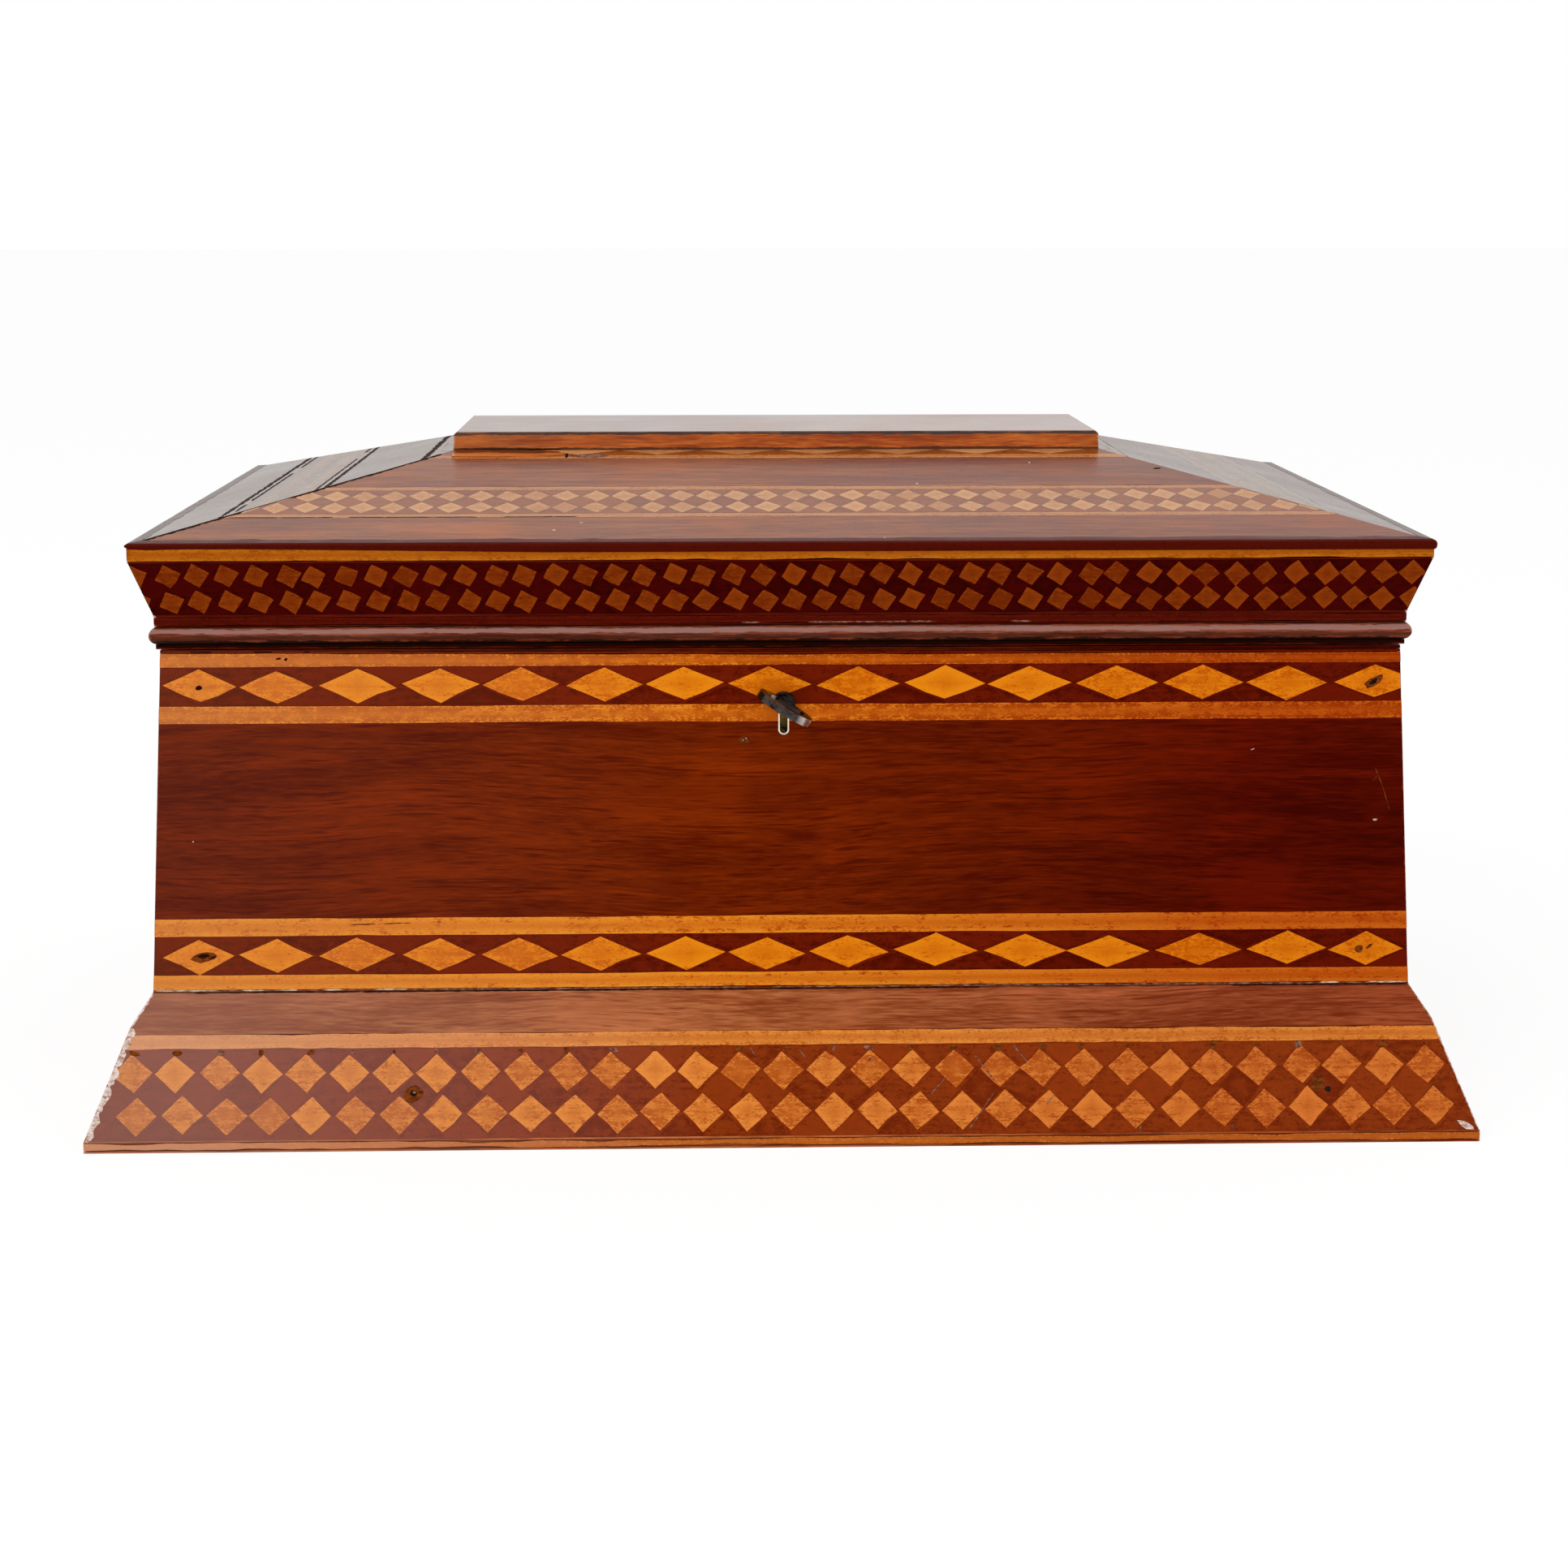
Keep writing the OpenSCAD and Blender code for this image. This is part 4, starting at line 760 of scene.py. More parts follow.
def palette():
    """The finishes that more than one piece uses, made once."""
    if PALETTE:
        return PALETTE
    inlay = bpy.context.scene.box_inlay
    boards = bpy.context.scene.box_boards
    worn = (boards.wear / MM, tuple(boards.bare) + (1.0,))
    scuffed = (0.25, srgb("#8e4a2e"))
    # Near black for dark lines: dirt in the plinth's joint, painted shade with some dirt under the lid's
    # bead, painted shade along the beads, dark lines on the plate
    dirt = srgb("#150402")
    # Painted reflection, grey, on the plate's top
    painted_reflection_grey = srgb("#5c625f")
    # Painted highlight, pale mauve, along the beads' round
    rubbed = srgb("#a47c74")
    # Painted reflection, grey, on faces turned towards the ends
    grey = "#7a726a"
    white = "#ffffff"
    # Lines along the box as height, width, colour and strength
    # Painted shade along the body's top edge, under the lid's bead
    top = ((119.4, 0.25, dirt, 0.7),)
    ledge = ((36.0, 0.3, dirt, 0.7),)
    # Dirt and painted shade, black, in the recess under the lid's bead
    seam = ((121.05, 0.55, dirt, 0.95),)
    # Painted shade along the bead's underside, middle and top edge, and a painted highlight along its round
    shoulder = ((121.5, 0.8, dirt, 0.95), (124.6, 0.55, rubbed, 0.75), (123.0, 0.6, dirt, 0.6),
                (125.7, 0.3, dirt, 0.8))
    # Dark lines at the plate's foot and under its top arris, and a grey painted reflection on its top
    arris = ((162.1, 0.5, dirt, 0.85), (166.95, 1.1, painted_reflection_grey, 0.65), (166.2, 0.3, dirt, 0.85))
    for key, name, gloss, level, seat, rest in (
            # Body boards: deep red, almost no haze seen from the front, with a darker pinkish painted
            # reflection near the left end and painted shade along the top edge under the lid's bead
            ("body", "mahogany_body_french_polished_", 0.24, 0.03, 0.0,
             dict(worn=scuffed, lines=top, drift=-0.0002, bloom=(0.3, "#54302c"), deepen=0.9)),
            # Plinth boards: lighter brown under a hazier polish, with a pale painted reflection near the left
            # end
            ("plinth", "mahogany_plinth_hazed_polish_", 0.36, 0.12, 31.0,
             dict(worn=worn, lines=ledge, bloom=(0.45, "#a0786c"), deepen=0.6)),
            # Lid side boards: dark, black with dirt and painted shade in the recess under the bead, along the
            # joint with the body
            ("lid", "mahogany_lid_french_polished_", 0.26, 0.03, 67.0, dict(worn=worn, lines=seam)),
            # Beads: lighter and streaky, with painted shade in dark lines along them and a painted highlight
            # along their round
            ("bead", "mahogany_bead_rubbed_polish_", 0.34, 0.1, 81.0,
             dict(worn=worn, lines=shoulder, warm="#ffd8c8")),
            # Slopes: sun-bleached under a glossy polish that mirrors the room at a low angle, with a grey
            # painted reflection where they face the ends
            ("slope", "mahogany_slope_bleached_polish_", 0.26, 0.33, 15.0,
             dict(warm="#fff2e6", end_reflection=grey, deepen=0.3))):
        for along, run in (("x", "long"), ("y", "short")):
            made = polished_mahogany(name + run, along, getattr(boards, key), gloss, level, seat, **rest)
            PALETTE[key + "_" + along] = made
    # Plate: the thickest polish, orange on its edge, with a grey painted reflection on its top, a painted
    # reflection near the left end, and dark lines along its foot and under its top arris
    PALETTE["plate"] = polished_mahogany("mahogany_plate_thick_polish", "x", boards.plate, 0.24, 0.2, 42.0,
                                         coat=0.3, worn=worn, lines=arris, bloom=(0.4, "#8a5c44"))
    for key, name, gloss, level, rest in (
            # Eave nosing: end of the slope veneer, dark with old polish and dirt, with a grey painted
            # reflection where it faces the ends
            ("nosing", "mahogany_nosing_dark_polish", 0.3, 0.05,
             dict(spread=1.2, length=30.0, rim_share=1.25, heart_share=0.7, end_reflection=grey)),
            # Boxwood, one finish for each part of the box as its polish has aged; some with a painted
            # reflection near the left end, those of the slopes with a grey painted reflection where they face
            # the ends
            ("light_body", "boxwood_body_shellacked", 0.3, 0.03, dict(bloom=(0.2, "#e0a070"), deepen=0.15)),
            ("string_body", "boxwood_body_string_shellacked", 0.3, 0.03,
             dict(spread=1.6, length=40.0, bloom=(0.35, "#e09a60"), deepen=0.65)),
            ("light_plinth", "boxwood_plinth_shellacked", 0.38, 0.1,
             dict(spread=1.3, bloom=(0.35, "#d0a080"), deepen=0.35)),
            ("string_plinth", "boxwood_plinth_string_shellacked", 0.38, 0.1,
             dict(spread=1.2, length=40.0, bloom=(0.65, "#e0a888"), deepen=0.2)),
            ("light_lid", "boxwood_lid_darkened_shellac", 0.3, 0.03, dict(length=9.0, rim_share=1.3)),
            ("light_slope", "boxwood_slope_sunbleached", 0.3, 0.33,
             dict(spread=0.8, warm=white, end_reflection=grey)),
            ("amber", "boxwood_eave_amber_shellac", 0.3, 0.03, dict(length=24.0)),
            ("dull", "boxwood_slope_string_dulled", 0.3, 0.33,
             dict(spread=1.2, length=30.0, warm=white, end_reflection=grey)),
            # Rosewood, one finish for each part of the box too; the body's and plinth's with a painted
            # reflection near the left end, the slopes' with a grey painted reflection where they face the
            # ends
            ("dark_body", "rosewood_body_shellacked", 0.3, 0.03,
             dict(spread=1.5, length=9.0, rim_share=0.8, heart_share=1.15, bloom=(0.3, "#804830"),
                  deepen=0.5)),
            ("dark_plinth", "rosewood_plinth_shellacked", 0.38, 0.1,
             dict(spread=1.2, length=9.0, rim_share=0.85, heart_share=1.08, bloom=(0.6, "#9a7068"))),
            ("dark_lid", "rosewood_lid_deep_shellac", 0.28, 0.02,
             dict(spread=1.4, length=14.0, rim_share=0.85, heart_share=1.1)),
            ("dark_slope", "rosewood_slope_sunbleached", 0.3, 0.33,
             dict(spread=0.9, length=12.0, rim_share=0.85, heart_share=1.08, warm=white, end_reflection=grey))):
        PALETTE[key] = cut_veneer(name, getattr(inlay, key), gloss, level, **rest)
    for key, name, dark, pale, share in (
            # Bare wood where corners have lost their polish
            ("bare", "mahogany_corner_rubbed_bare", "#b07858", "#f4e4dc", 0.46),
            # Fillers: nearly black in nail holes and open seams, grey-white where wax has bloomed
            ("black", "glue_and_dirt_in_seams", "#160604", "#3a180c", 0.55),
            ("stain", "stain_under_polish", "#5a2408", "#8a4412", 0.5),
            # Also used for a painted highlight along the fillet over the bead
            ("grey", "beeswax_bloomed_in_seams", "#6a3a2a", "#a47864", 0.52),
            ("pale", "beeswax_bloomed_white", "#b49880", "#ecdccc", 0.5)):
        PALETTE[key] = old_filler(name, dark, pale, share)
    # Metals: a filed and handled steel key with a painted highlight on its undersides, a bright rolled
    # keyhole lining, rusted iron, tarnished brass
    PALETTE["key"] = handled_metal("steel_key_filed_handled", "#4c423e", "#0e0706", 0.16, 2.6, 1.0, "#fff8f0")
    PALETTE["lining"] = handled_metal("nickel_sheet_rolled", "#efe8da", "#8a7a68", 0.2, 2.0, 0.5)
    PALETTE["iron"] = handled_metal("iron_nail_rusted", "#4a3a32", "#2a1a14", 0.5, 0.8, 1.0)
    PALETTE["brass"] = handled_metal("brass_sheet_tarnished", "#c79e50", "#6e5426", 0.28, 7.0, 0.7)
    PALETTE["paper"] = lining_paper("lining_paper_foxed", "#c6b898", "#a8987a", "#8a6840")
    PALETTE["deal"] = planed_deal("deal_board_planed", "#c9a06a", "#a5763f")
    return PALETTE


def finish_node(name, finish, ease=0.0):
    """Gives a CAD node its finish and, where asked, eased arrises."""
    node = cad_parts[name]
    node.data.materials.clear()
    node.data.materials.append(palette()[finish])
    if ease:
        bevel = node.modifiers.new("eased_arris", "BEVEL")
        bevel.width = ease
        bevel.segments = 2
        bevel.limit_method = "ANGLE"
        bevel.angle_limit = math.radians(25)


def lozenge_rows(lights, darks, face, rng, settings, turn, rows, pitch, wide, tall, band, ends):
    """Two rows of light lozenges one above the other, dark ones between them and points at the strings."""
    wobble = settings.wobble / MM
    proud = settings.proud / MM
    spread = settings.spread
    inset = 0.2
    rim = 0.1
    (low_y, low_shift), (high_y, high_shift) = rows
    middle = (low_y + high_y) / 2
    count = int((2 * face.half(high_y) - wide) / pitch) + 1
    start = -(count - 1) * pitch / 2
    for i in range(-ends, count + ends):
        x = start + i * pitch + rng.gauss(0, wobble)
        for y, shift in rows:
            at = x + shift + rng.gauss(0, wobble)
            angle = turn(at) + rng.gauss(0, 0.04)
            shape = lozenge(at, y + rng.gauss(0, wobble), wide, tall, rng, wobble, angle)
            lights.piece(face, shape, LIGHT_SEAT, proud, 0.13, rng.gauss(0.5, spread), rng, inset)
    for i in range(-1 - ends, count + ends):
        x = start + (i + 0.5) * pitch
        half = pitch / 2 - 0.1
        at = x + (low_shift + high_shift) / 2
        shape = [(at - half, middle), (x + low_shift, low_y + 0.1), (at + half, middle),
                 (x + high_shift, high_y - 0.1)]
        darks.piece(face, shape, DARK_SEAT, 0.0, rim, rng.gauss(0.5, spread * 1.3), rng, inset)
        for y, y_end, shift in ((high_y, band[1] - 0.1, high_shift), (low_y, band[0] + 0.1, low_shift)):
            rise = y + (tall / 2 + 0.2 if y_end > y else -tall / 2 - 0.2)
            tip = y + (0.3 if y_end > y else -0.3)
            shape = [(x + shift, tip), (x + shift + half, rise), (x + shift + half, y_end),
                     (x + shift - half, y_end), (x + shift - half, rise)]
            darks.piece(face, shape, DARK_SEAT, 0.0, rim, rng.gauss(0.5, spread * 1.1), rng, inset)


class BOX_OT_boards(bpy.types.Operator):
    """Polishes the boards of body, plinth and lid and eases their arrises."""
    bl_idname = "box.boards"
    bl_label = "Polish the boards"

    def execute(self, context):
        ease = context.scene.box_boards.ease
        for side, axis in (("front", "x"), ("back", "x"), ("left", "y"), ("right", "y")):
            finish_node(side + "_board", "body_" + axis, ease)
            finish_node("plinth_" + side, "plinth_" + axis, 2 * ease)
            finish_node("lid_" + side, "lid_" + axis, ease)
            finish_node("bead_" + side, "bead_" + axis)
            finish_node("slope_" + side, "slope_" + axis, ease)
        finish_node("top_plate", "plate", 2 * ease)
        for name, key in (("crown_board", "deal"), ("plate_fillet", "plate"), ("bottom_board", "deal"),
                          ("box_lining", "paper"), ("lid_lining", "paper")):
            finish_node(name, key)
        return {"FINISHED"}


class BOX_OT_hardware(bpy.types.Operator):
    """Finishes the lock, key, hinges, screws and nails."""
    bl_idname = "box.hardware"
    bl_label = "Finish the hardware"

    def execute(self, context):
        for name in ("lock_plate", "lock_case", "lock_screws", "hinge_leaves_box", "hinge_leaves_lid",
                     "hinge_pins", "hinge_screws_box", "hinge_screws_lid", "link_plate", "link_screws"):
            finish_node(name, "brass")
        for name, key in (("corner_nails", "iron"), ("plinth_nails", "iron"), ("keyhole_lining", "lining"),
                          ("bolt", "key")):
            finish_node(name, key)
        finish_node("key", "key", KEY_EASE)
        return {"FINISHED"}


def keyhole_cutter():
    """A prism of the keyhole's outline through the front."""
    outline = []
    for radius, drop, start, sweep, steps in ((KEYHOLE_ROUND, 0.0, -58, 296, 32),
                                              (KEYHOLE_SLOT, -KEYHOLE_DROP, 180, 180, 8)):
        for i in range(steps + 1):
            angle = math.radians(start + sweep * i / steps)
            outline.append((radius * math.cos(angle), drop + radius * math.sin(angle)))
    points = []
    for o in KEYHOLE_ENDS:
        points += [Vector((x * MM, -o * MM, (KEY_HEIGHT + z) * MM)) for x, z in outline]
    count = len(outline)
    polygons = [tuple(range(count)), tuple(reversed(range(count, 2 * count)))]
    polygons += [(i, i + count, (i + 1) % count + count, (i + 1) % count) for i in range(count)]
    mesh = bpy.data.meshes.new("keyhole_cutter")
    mesh.from_pydata(points, [], polygons)
    outward(mesh)
    return placed("keyhole_cutter", mesh)


def cut_keyhole(pieces):
    """Cuts the keyhole through single closed pieces for good and throws the cutter away."""
    cutter = keyhole_cutter()
    for piece in pieces:
        boolean = piece.modifiers.new("keyhole", "BOOLEAN")
        boolean.operation = "DIFFERENCE"
        boolean.solver = "EXACT"
        boolean.object = cutter
        bpy.context.view_layer.update()
        evaluated = piece.evaluated_get(bpy.context.evaluated_depsgraph_get())
        fresh = bpy.data.meshes.new_from_object(evaluated)
        piece.modifiers.clear()
        old = piece.data
        piece.data = fresh
        bpy.data.meshes.remove(old)
        fresh.name = piece.name
    bpy.data.objects.remove(cutter)


class BOX_OT_body_inlay(bpy.types.Operator):
    """Cuts the two bands of long diamonds on the body."""
    bl_idname = "box.body_inlay"
    bl_label = "Cut the body's bands"

    def execute(self, context):
        settings = context.scene.box_inlay
        rng = random.Random(settings.seed)
        proud = settings.proud / MM
        grounds, darks, lights, strings = veneer_sets(4)
        holed = []
        for face in faces(BODY_LOW, BODY_TOP):
            for low, ground_low, ground_high, high, middle, low_tone, high_tone, places in BODY_BANDS:
                upper = places is UPPER_DIAMONDS
                lock_band = face.side == 0 and upper
                trim = (top_rise, None, hinge_notch, None)[face.side] if upper else None
                ground = Veneers() if lock_band else grounds
                band_ground(ground, face, (ground_low - 0.1, ground_high + 0.1), rng)
                string = Veneers() if lock_band else strings
                long_strip(string, face, (low, ground_low), rng, proud, rng.gauss(low_tone, 0.04))
                if lock_band:
                    holed += [ground.build("keyhole_ground", "dark_body", "box", "dark_veneer"),
                              string.build("keyhole_string", "string_body", "box", "light_veneer")]
                long_strip(strings, face, (ground_high, high), rng, proud, high_tone, trim=trim)
                if upper:
                    long_strip(darks, face, (high, STRIP_TOP), rng, 0.0, 0.6, trim=trim)
                if face.side:
                    count = DIAMOND_COUNTS[face.side % 2]
                    places = [(i - (count - 1) / 2) * DIAMOND_PITCH + rng.gauss(0, 0.3) for i in range(count)]
                holed += self.diamonds(face, places, middle, (ground_low, ground_high), lights, darks,
                                       lock_band, settings, rng)
        grounds.build("body_band_ground_veneer", "dark_body", "box", "dark_veneer")
        darks.build("body_dark_triangles", "dark_body", "box", "dark_veneer", "body_band_grounds")
        lights.build("body_light_diamonds", "light_body", "box", "light_veneer", "body_diamonds")
        strings.build("body_light_strings", "string_body", "box", "light_veneer", "body_strings")
        cut_keyhole(holed)
        return {"FINISHED"}

    def diamonds(self, face, places, y, ground, lights, darks, lock_band, settings, rng):
        """One row of diamonds and the dark triangles round them. Those at the keyhole are pieces apart."""
        wobble = settings.wobble / MM
        proud = settings.proud / MM
        spread = settings.spread
        hole = KEYHOLE_ROUND + 0.1
        shoulder = DIAMOND_TALL / 2 + 0.15
        inset = 0.15
        apart = []
        ends = [2 * places[0] - places[1]] + list(places) + [2 * places[-1] - places[-2]]
        for i, x in enumerate(places):
            wide = (ends[i + 2] - ends[i]) / 2 - DIAMOND_GAP
            middle = y + rng.gauss(0, wobble)
            shape = lozenge(x, middle, wide, DIAMOND_TALL, rng, wobble * 1.2, rng.gauss(0, 0.008))
            at_hole = lock_band and abs(x) < wide / 2
            group = Veneers() if at_hole else lights
            group.piece(face, shape, LIGHT_SEAT, proud, 0.14, rng.gauss(0.5, spread), rng, inset)
            if at_hole:
                apart.append(group.build("keyhole_diamond", "light_body", "box", "light_veneer"))
        for left, right in zip(ends, ends[1:]):
            left += 0.1
            right -= 0.1
            middle = (left + right) / 2
            for edge, tip in ((ground[0] + 0.05, y - 0.4), (ground[1] - 0.05, y + 0.4)):
                away = 1 if edge > y else -1
                rise = y + away * shoulder
                shape = [(middle, tip), (right, rise), (right, edge), (left, edge), (left, rise)]
                at_hole = lock_band and away < 0 and left < hole and right > -hole
                group = Veneers() if at_hole else darks
                group.piece(face, shape, DARK_SEAT, 0.0, 0.1, rng.gauss(0.5, spread * 1.4), rng, inset)
                if at_hole:
                    name = "keyhole_triangle_left" if middle < 0 else "keyhole_triangle_right"
                    apart.append(group.build(name, "dark_body", "box", "dark_veneer"))
        return apart


def top_rise(x, y):
    """The front's top string is wider towards its left end, where it reaches the lid."""
    rise = 0.8
    end = 130
    return y + rise * min(1.0, max(0.0, -x / end)) if y > 81.5 else y


def hinge_notch(x, y):
    """The back's top string is cut down where the hinge leaves lie."""
    leaf_start = 71.8
    leaf_end = 118.2
    return min(y, 82.85) if leaf_start < abs(x) < leaf_end else y


def cove_turn(x):
    """The squares on the lid's side were laid turned, and less and less so towards the right end."""
    most = math.radians(16)
    straight_at = 115
    fading = 50
    return most * min(1.0, max(0.0, (straight_at - x) / fading))


class BOX_OT_plinth_inlay(bpy.types.Operator):
    """Cuts the plinth's two rows of lozenges and its strings."""
    bl_idname = "box.plinth_inlay"
    bl_label = "Cut the plinth's bands"

    def execute(self, context):
        settings = context.scene.box_inlay
        rng = random.Random(settings.seed + 1)
        proud = settings.proud / MM
        grounds, darks, lights, strings = veneer_sets(4)
        for face in faces(FOOT_TOP, BEVEL_LOW):
            band_ground(grounds, face, PLINTH_GROUND, rng)
            lozenge_rows(lights, darks, face, rng, settings, lambda x: 0.0, **PLINTH_ROWS)
            long_strip(strings, face, PLINTH_STRING, rng, proud, 0.5, 0.09)
        for face in faces(FOOT_LOW, FOOT_TOP):
            long_strip(strings, face, FOOT_STRING, rng, -0.05, 0.05, 0.2)
        grounds.build("plinth_band_ground_veneer", "dark_plinth", "box", "dark_veneer")
        darks.build("plinth_dark_tiles", "dark_plinth", "box", "dark_veneer", "plinth_band_grounds")
        lights.build("plinth_light_tiles", "light_plinth", "box", "light_veneer", "plinth_lozenges")
        strings.build("plinth_light_strings", "string_plinth", "box", "light_veneer", "plinth_strings")
        return {"FINISHED"}


class BOX_OT_lid_side_inlay(bpy.types.Operator):
    """Cuts the two rows of turned squares on the lid's side, and its strings."""
    bl_idname = "box.lid_side_inlay"
    bl_label = "Cut the lid side's bands"

    def execute(self, context):
        settings = context.scene.box_inlay
        rng = random.Random(settings.seed + 2)
        proud = settings.proud / MM
        grounds, darks, lights, strings, tan = veneer_sets(5)
        for face in faces(COVE_LOW, COVE_TOP):
            band_ground(grounds, face, COVE_GROUND, rng)
            lozenge_rows(lights, darks, face, rng, settings, cove_turn, **COVE_ROWS)
        for face in faces(COVE_TOP, EAVE):
            long_strip(strings, face, AMBER_STRING, rng, proud, 0.5, 0.12)
        for face in faces(FILLET_LOW, COVE_LOW):
            long_strip(tan, face, BROWN_STRING, rng, proud, 0.5, 0.1)
        grounds.build("cove_band_ground_veneer", "dark_lid", "lid", "dark_veneer")
        darks.build("cove_dark_tiles", "dark_lid", "lid", "dark_veneer", "cove_band_grounds")
        lights.build("cove_light_tiles", "light_lid", "lid", "light_veneer", "cove_lozenges")
        strings.build("eave_amber_string", "amber", "lid", "light_veneer", "cove_strings")
        tan.build("fillet_brown_string", "nosing", "lid", "light_veneer")
        return {"FINISHED"}


class BOX_OT_eave_nosing(bpy.types.Operator):
    """Rounds the eave with a dark nosing that runs round the lid."""
    bl_idname = "box.eave_nosing"
    bl_label = "Round the eave"

    def execute(self, context):
        rng = random.Random(context.scene.box_inlay.seed + 4)
        nosing = Veneers()
        around = len(NOSING)
        worn_run = 100.0
        worn_top = 146.2
        for side in SIDES:
            core = CORE if side % 2 == 0 else 0.0
            count = (60, 40)[side % 2]
            for i in range(count):
                t = i / count
                swell = rng.gauss(0, 0.03) if i else 0.0
                ragged = rng.gauss(0, 0.25) if i else 0.0
                # The nosing is worn thin towards the front's left corner
                half = core + NOSING[2][0]
                run = {0: 2 * half * t, 3: 2 * half * (1 - t)}.get(side, worn_run)
                worn = 0.6 * max(0.0, 1 - run / worn_run)
                for k, (o, z) in enumerate(NOSING):
                    if z < worn_top:
                        z += (worn_top - z) * worn
                        o -= 0.25 * worn
                    if k in (2, 3, 4):
                        o += swell
                    if k in (6, 7, 8):
                        o += ragged
                        z -= ragged * 0.224
                    reach = core + o
                    x = -reach + 2 * reach * t
                    nosing.point(on_side(side, x, o, z), (x, z, side * 37.0), 0.5, 0.2 if 0 < k < 7 else 1.0)
        total = len(nosing.points)
        for a in range(0, total, around):
            nosing.wall(a, (a + around) % total, around)
        nosing.build("eave_nosing", "nosing", "lid", "mahogany")
        return {"FINISHED"}


class BOX_OT_slope_inlay(bpy.types.Operator):
    """Cuts the slopes' rows of lozenges, their strings and the half diamonds under the plate."""
    bl_idname = "box.slope_inlay"
    bl_label = "Cut the slopes' bands"

    def execute(self, context):
        settings = context.scene.box_inlay
        rng = random.Random(settings.seed + 3)
        proud = settings.proud / MM
        grounds, darks, lights, strings = veneer_sets(4)
        for face in faces(EAVE, CROWN):
            length = face.length
            band_ground(grounds, face, SLOPE_GROUND, rng)
            band_ground(grounds, face, (length - CROWN_GROUND[0], length - CROWN_GROUND[1]), rng)
            lozenge_rows(lights, darks, face, rng, settings, lambda x: math.radians(3), **SLOPE_ROWS)
            for span in SLOPE_STRINGS:
                long_strip(strings, face, span, rng, proud, 0.5, 0.08)
            span = (length - CROWN_STRING[0], length - CROWN_STRING[1])
            long_strip(strings, face, span, rng, proud, 0.5, 0.1)
            y = length - 0.4
            count = CROWN_COUNTS[face.side % 2]
            for i in range(count):
                x = (i - (count - 1) / 2) * CROWN_PITCH + rng.gauss(0, 0.4)
                shape = [(x - CROWN_HALF, y), (x, y - CROWN_TALL), (x + CROWN_HALF, y), (x, y + 0.3)]
                lights.piece(face, shape, LIGHT_SEAT, proud, 0.0, rng.gauss(0.4, settings.spread), rng, 0.1)
        grounds.build("slope_band_ground_veneer", "dark_slope", "lid", "dark_veneer")
        darks.build("slope_dark_tiles", "dark_slope", "lid", "dark_veneer", "slope_band_grounds")
        lights.build("slope_light_tiles", "light_slope", "lid", "light_veneer", "slope_lozenges",
                     "crown_diamonds")
        strings.build("slope_dull_strings", "dull", "lid", "light_veneer", "slope_strings")
        return {"FINISHED"}


class BOX_OT_plate_fillet(bpy.types.Operator):
    """Lays the thin fillet under the plate. At the front only a worn piece is left, at the left end."""
    bl_idname = "box.plate_fillet"
    bl_label = "Lay the plate's fillet"

    def execute(self, context):
        rng = random.Random(context.scene.box_inlay.seed + 6)
        fillet = Veneers()
        for face in faces(CROWN, (CROWN[0], CROWN[1] + FILLET_TALL)):
            if face.side:
                long_strip(fillet, face, (0.0, FILLET_TALL), rng, 0.06, 0.5, low=-INLAY_DEPTH)
            else:
                slope = Face(0, EAVE, CROWN)
                y = slope.length
                end = -slope.half(y)
                shape = [(end, y - 6.4), (end + 12.0, y - 6.6), (end + 29.0, y - 5.0), (end + 27.5, y - 2.6),
                         (end + 18.0, y - 1.2), (end, y - 0.5)]
                fillet.piece(slope, shape, -0.2, 0.5, 0.15, 0.3)
        fillet.build("plate_fillet_flush", "plate", "lid", "mahogany", "plate_fillet")
        return {"FINISHED"}


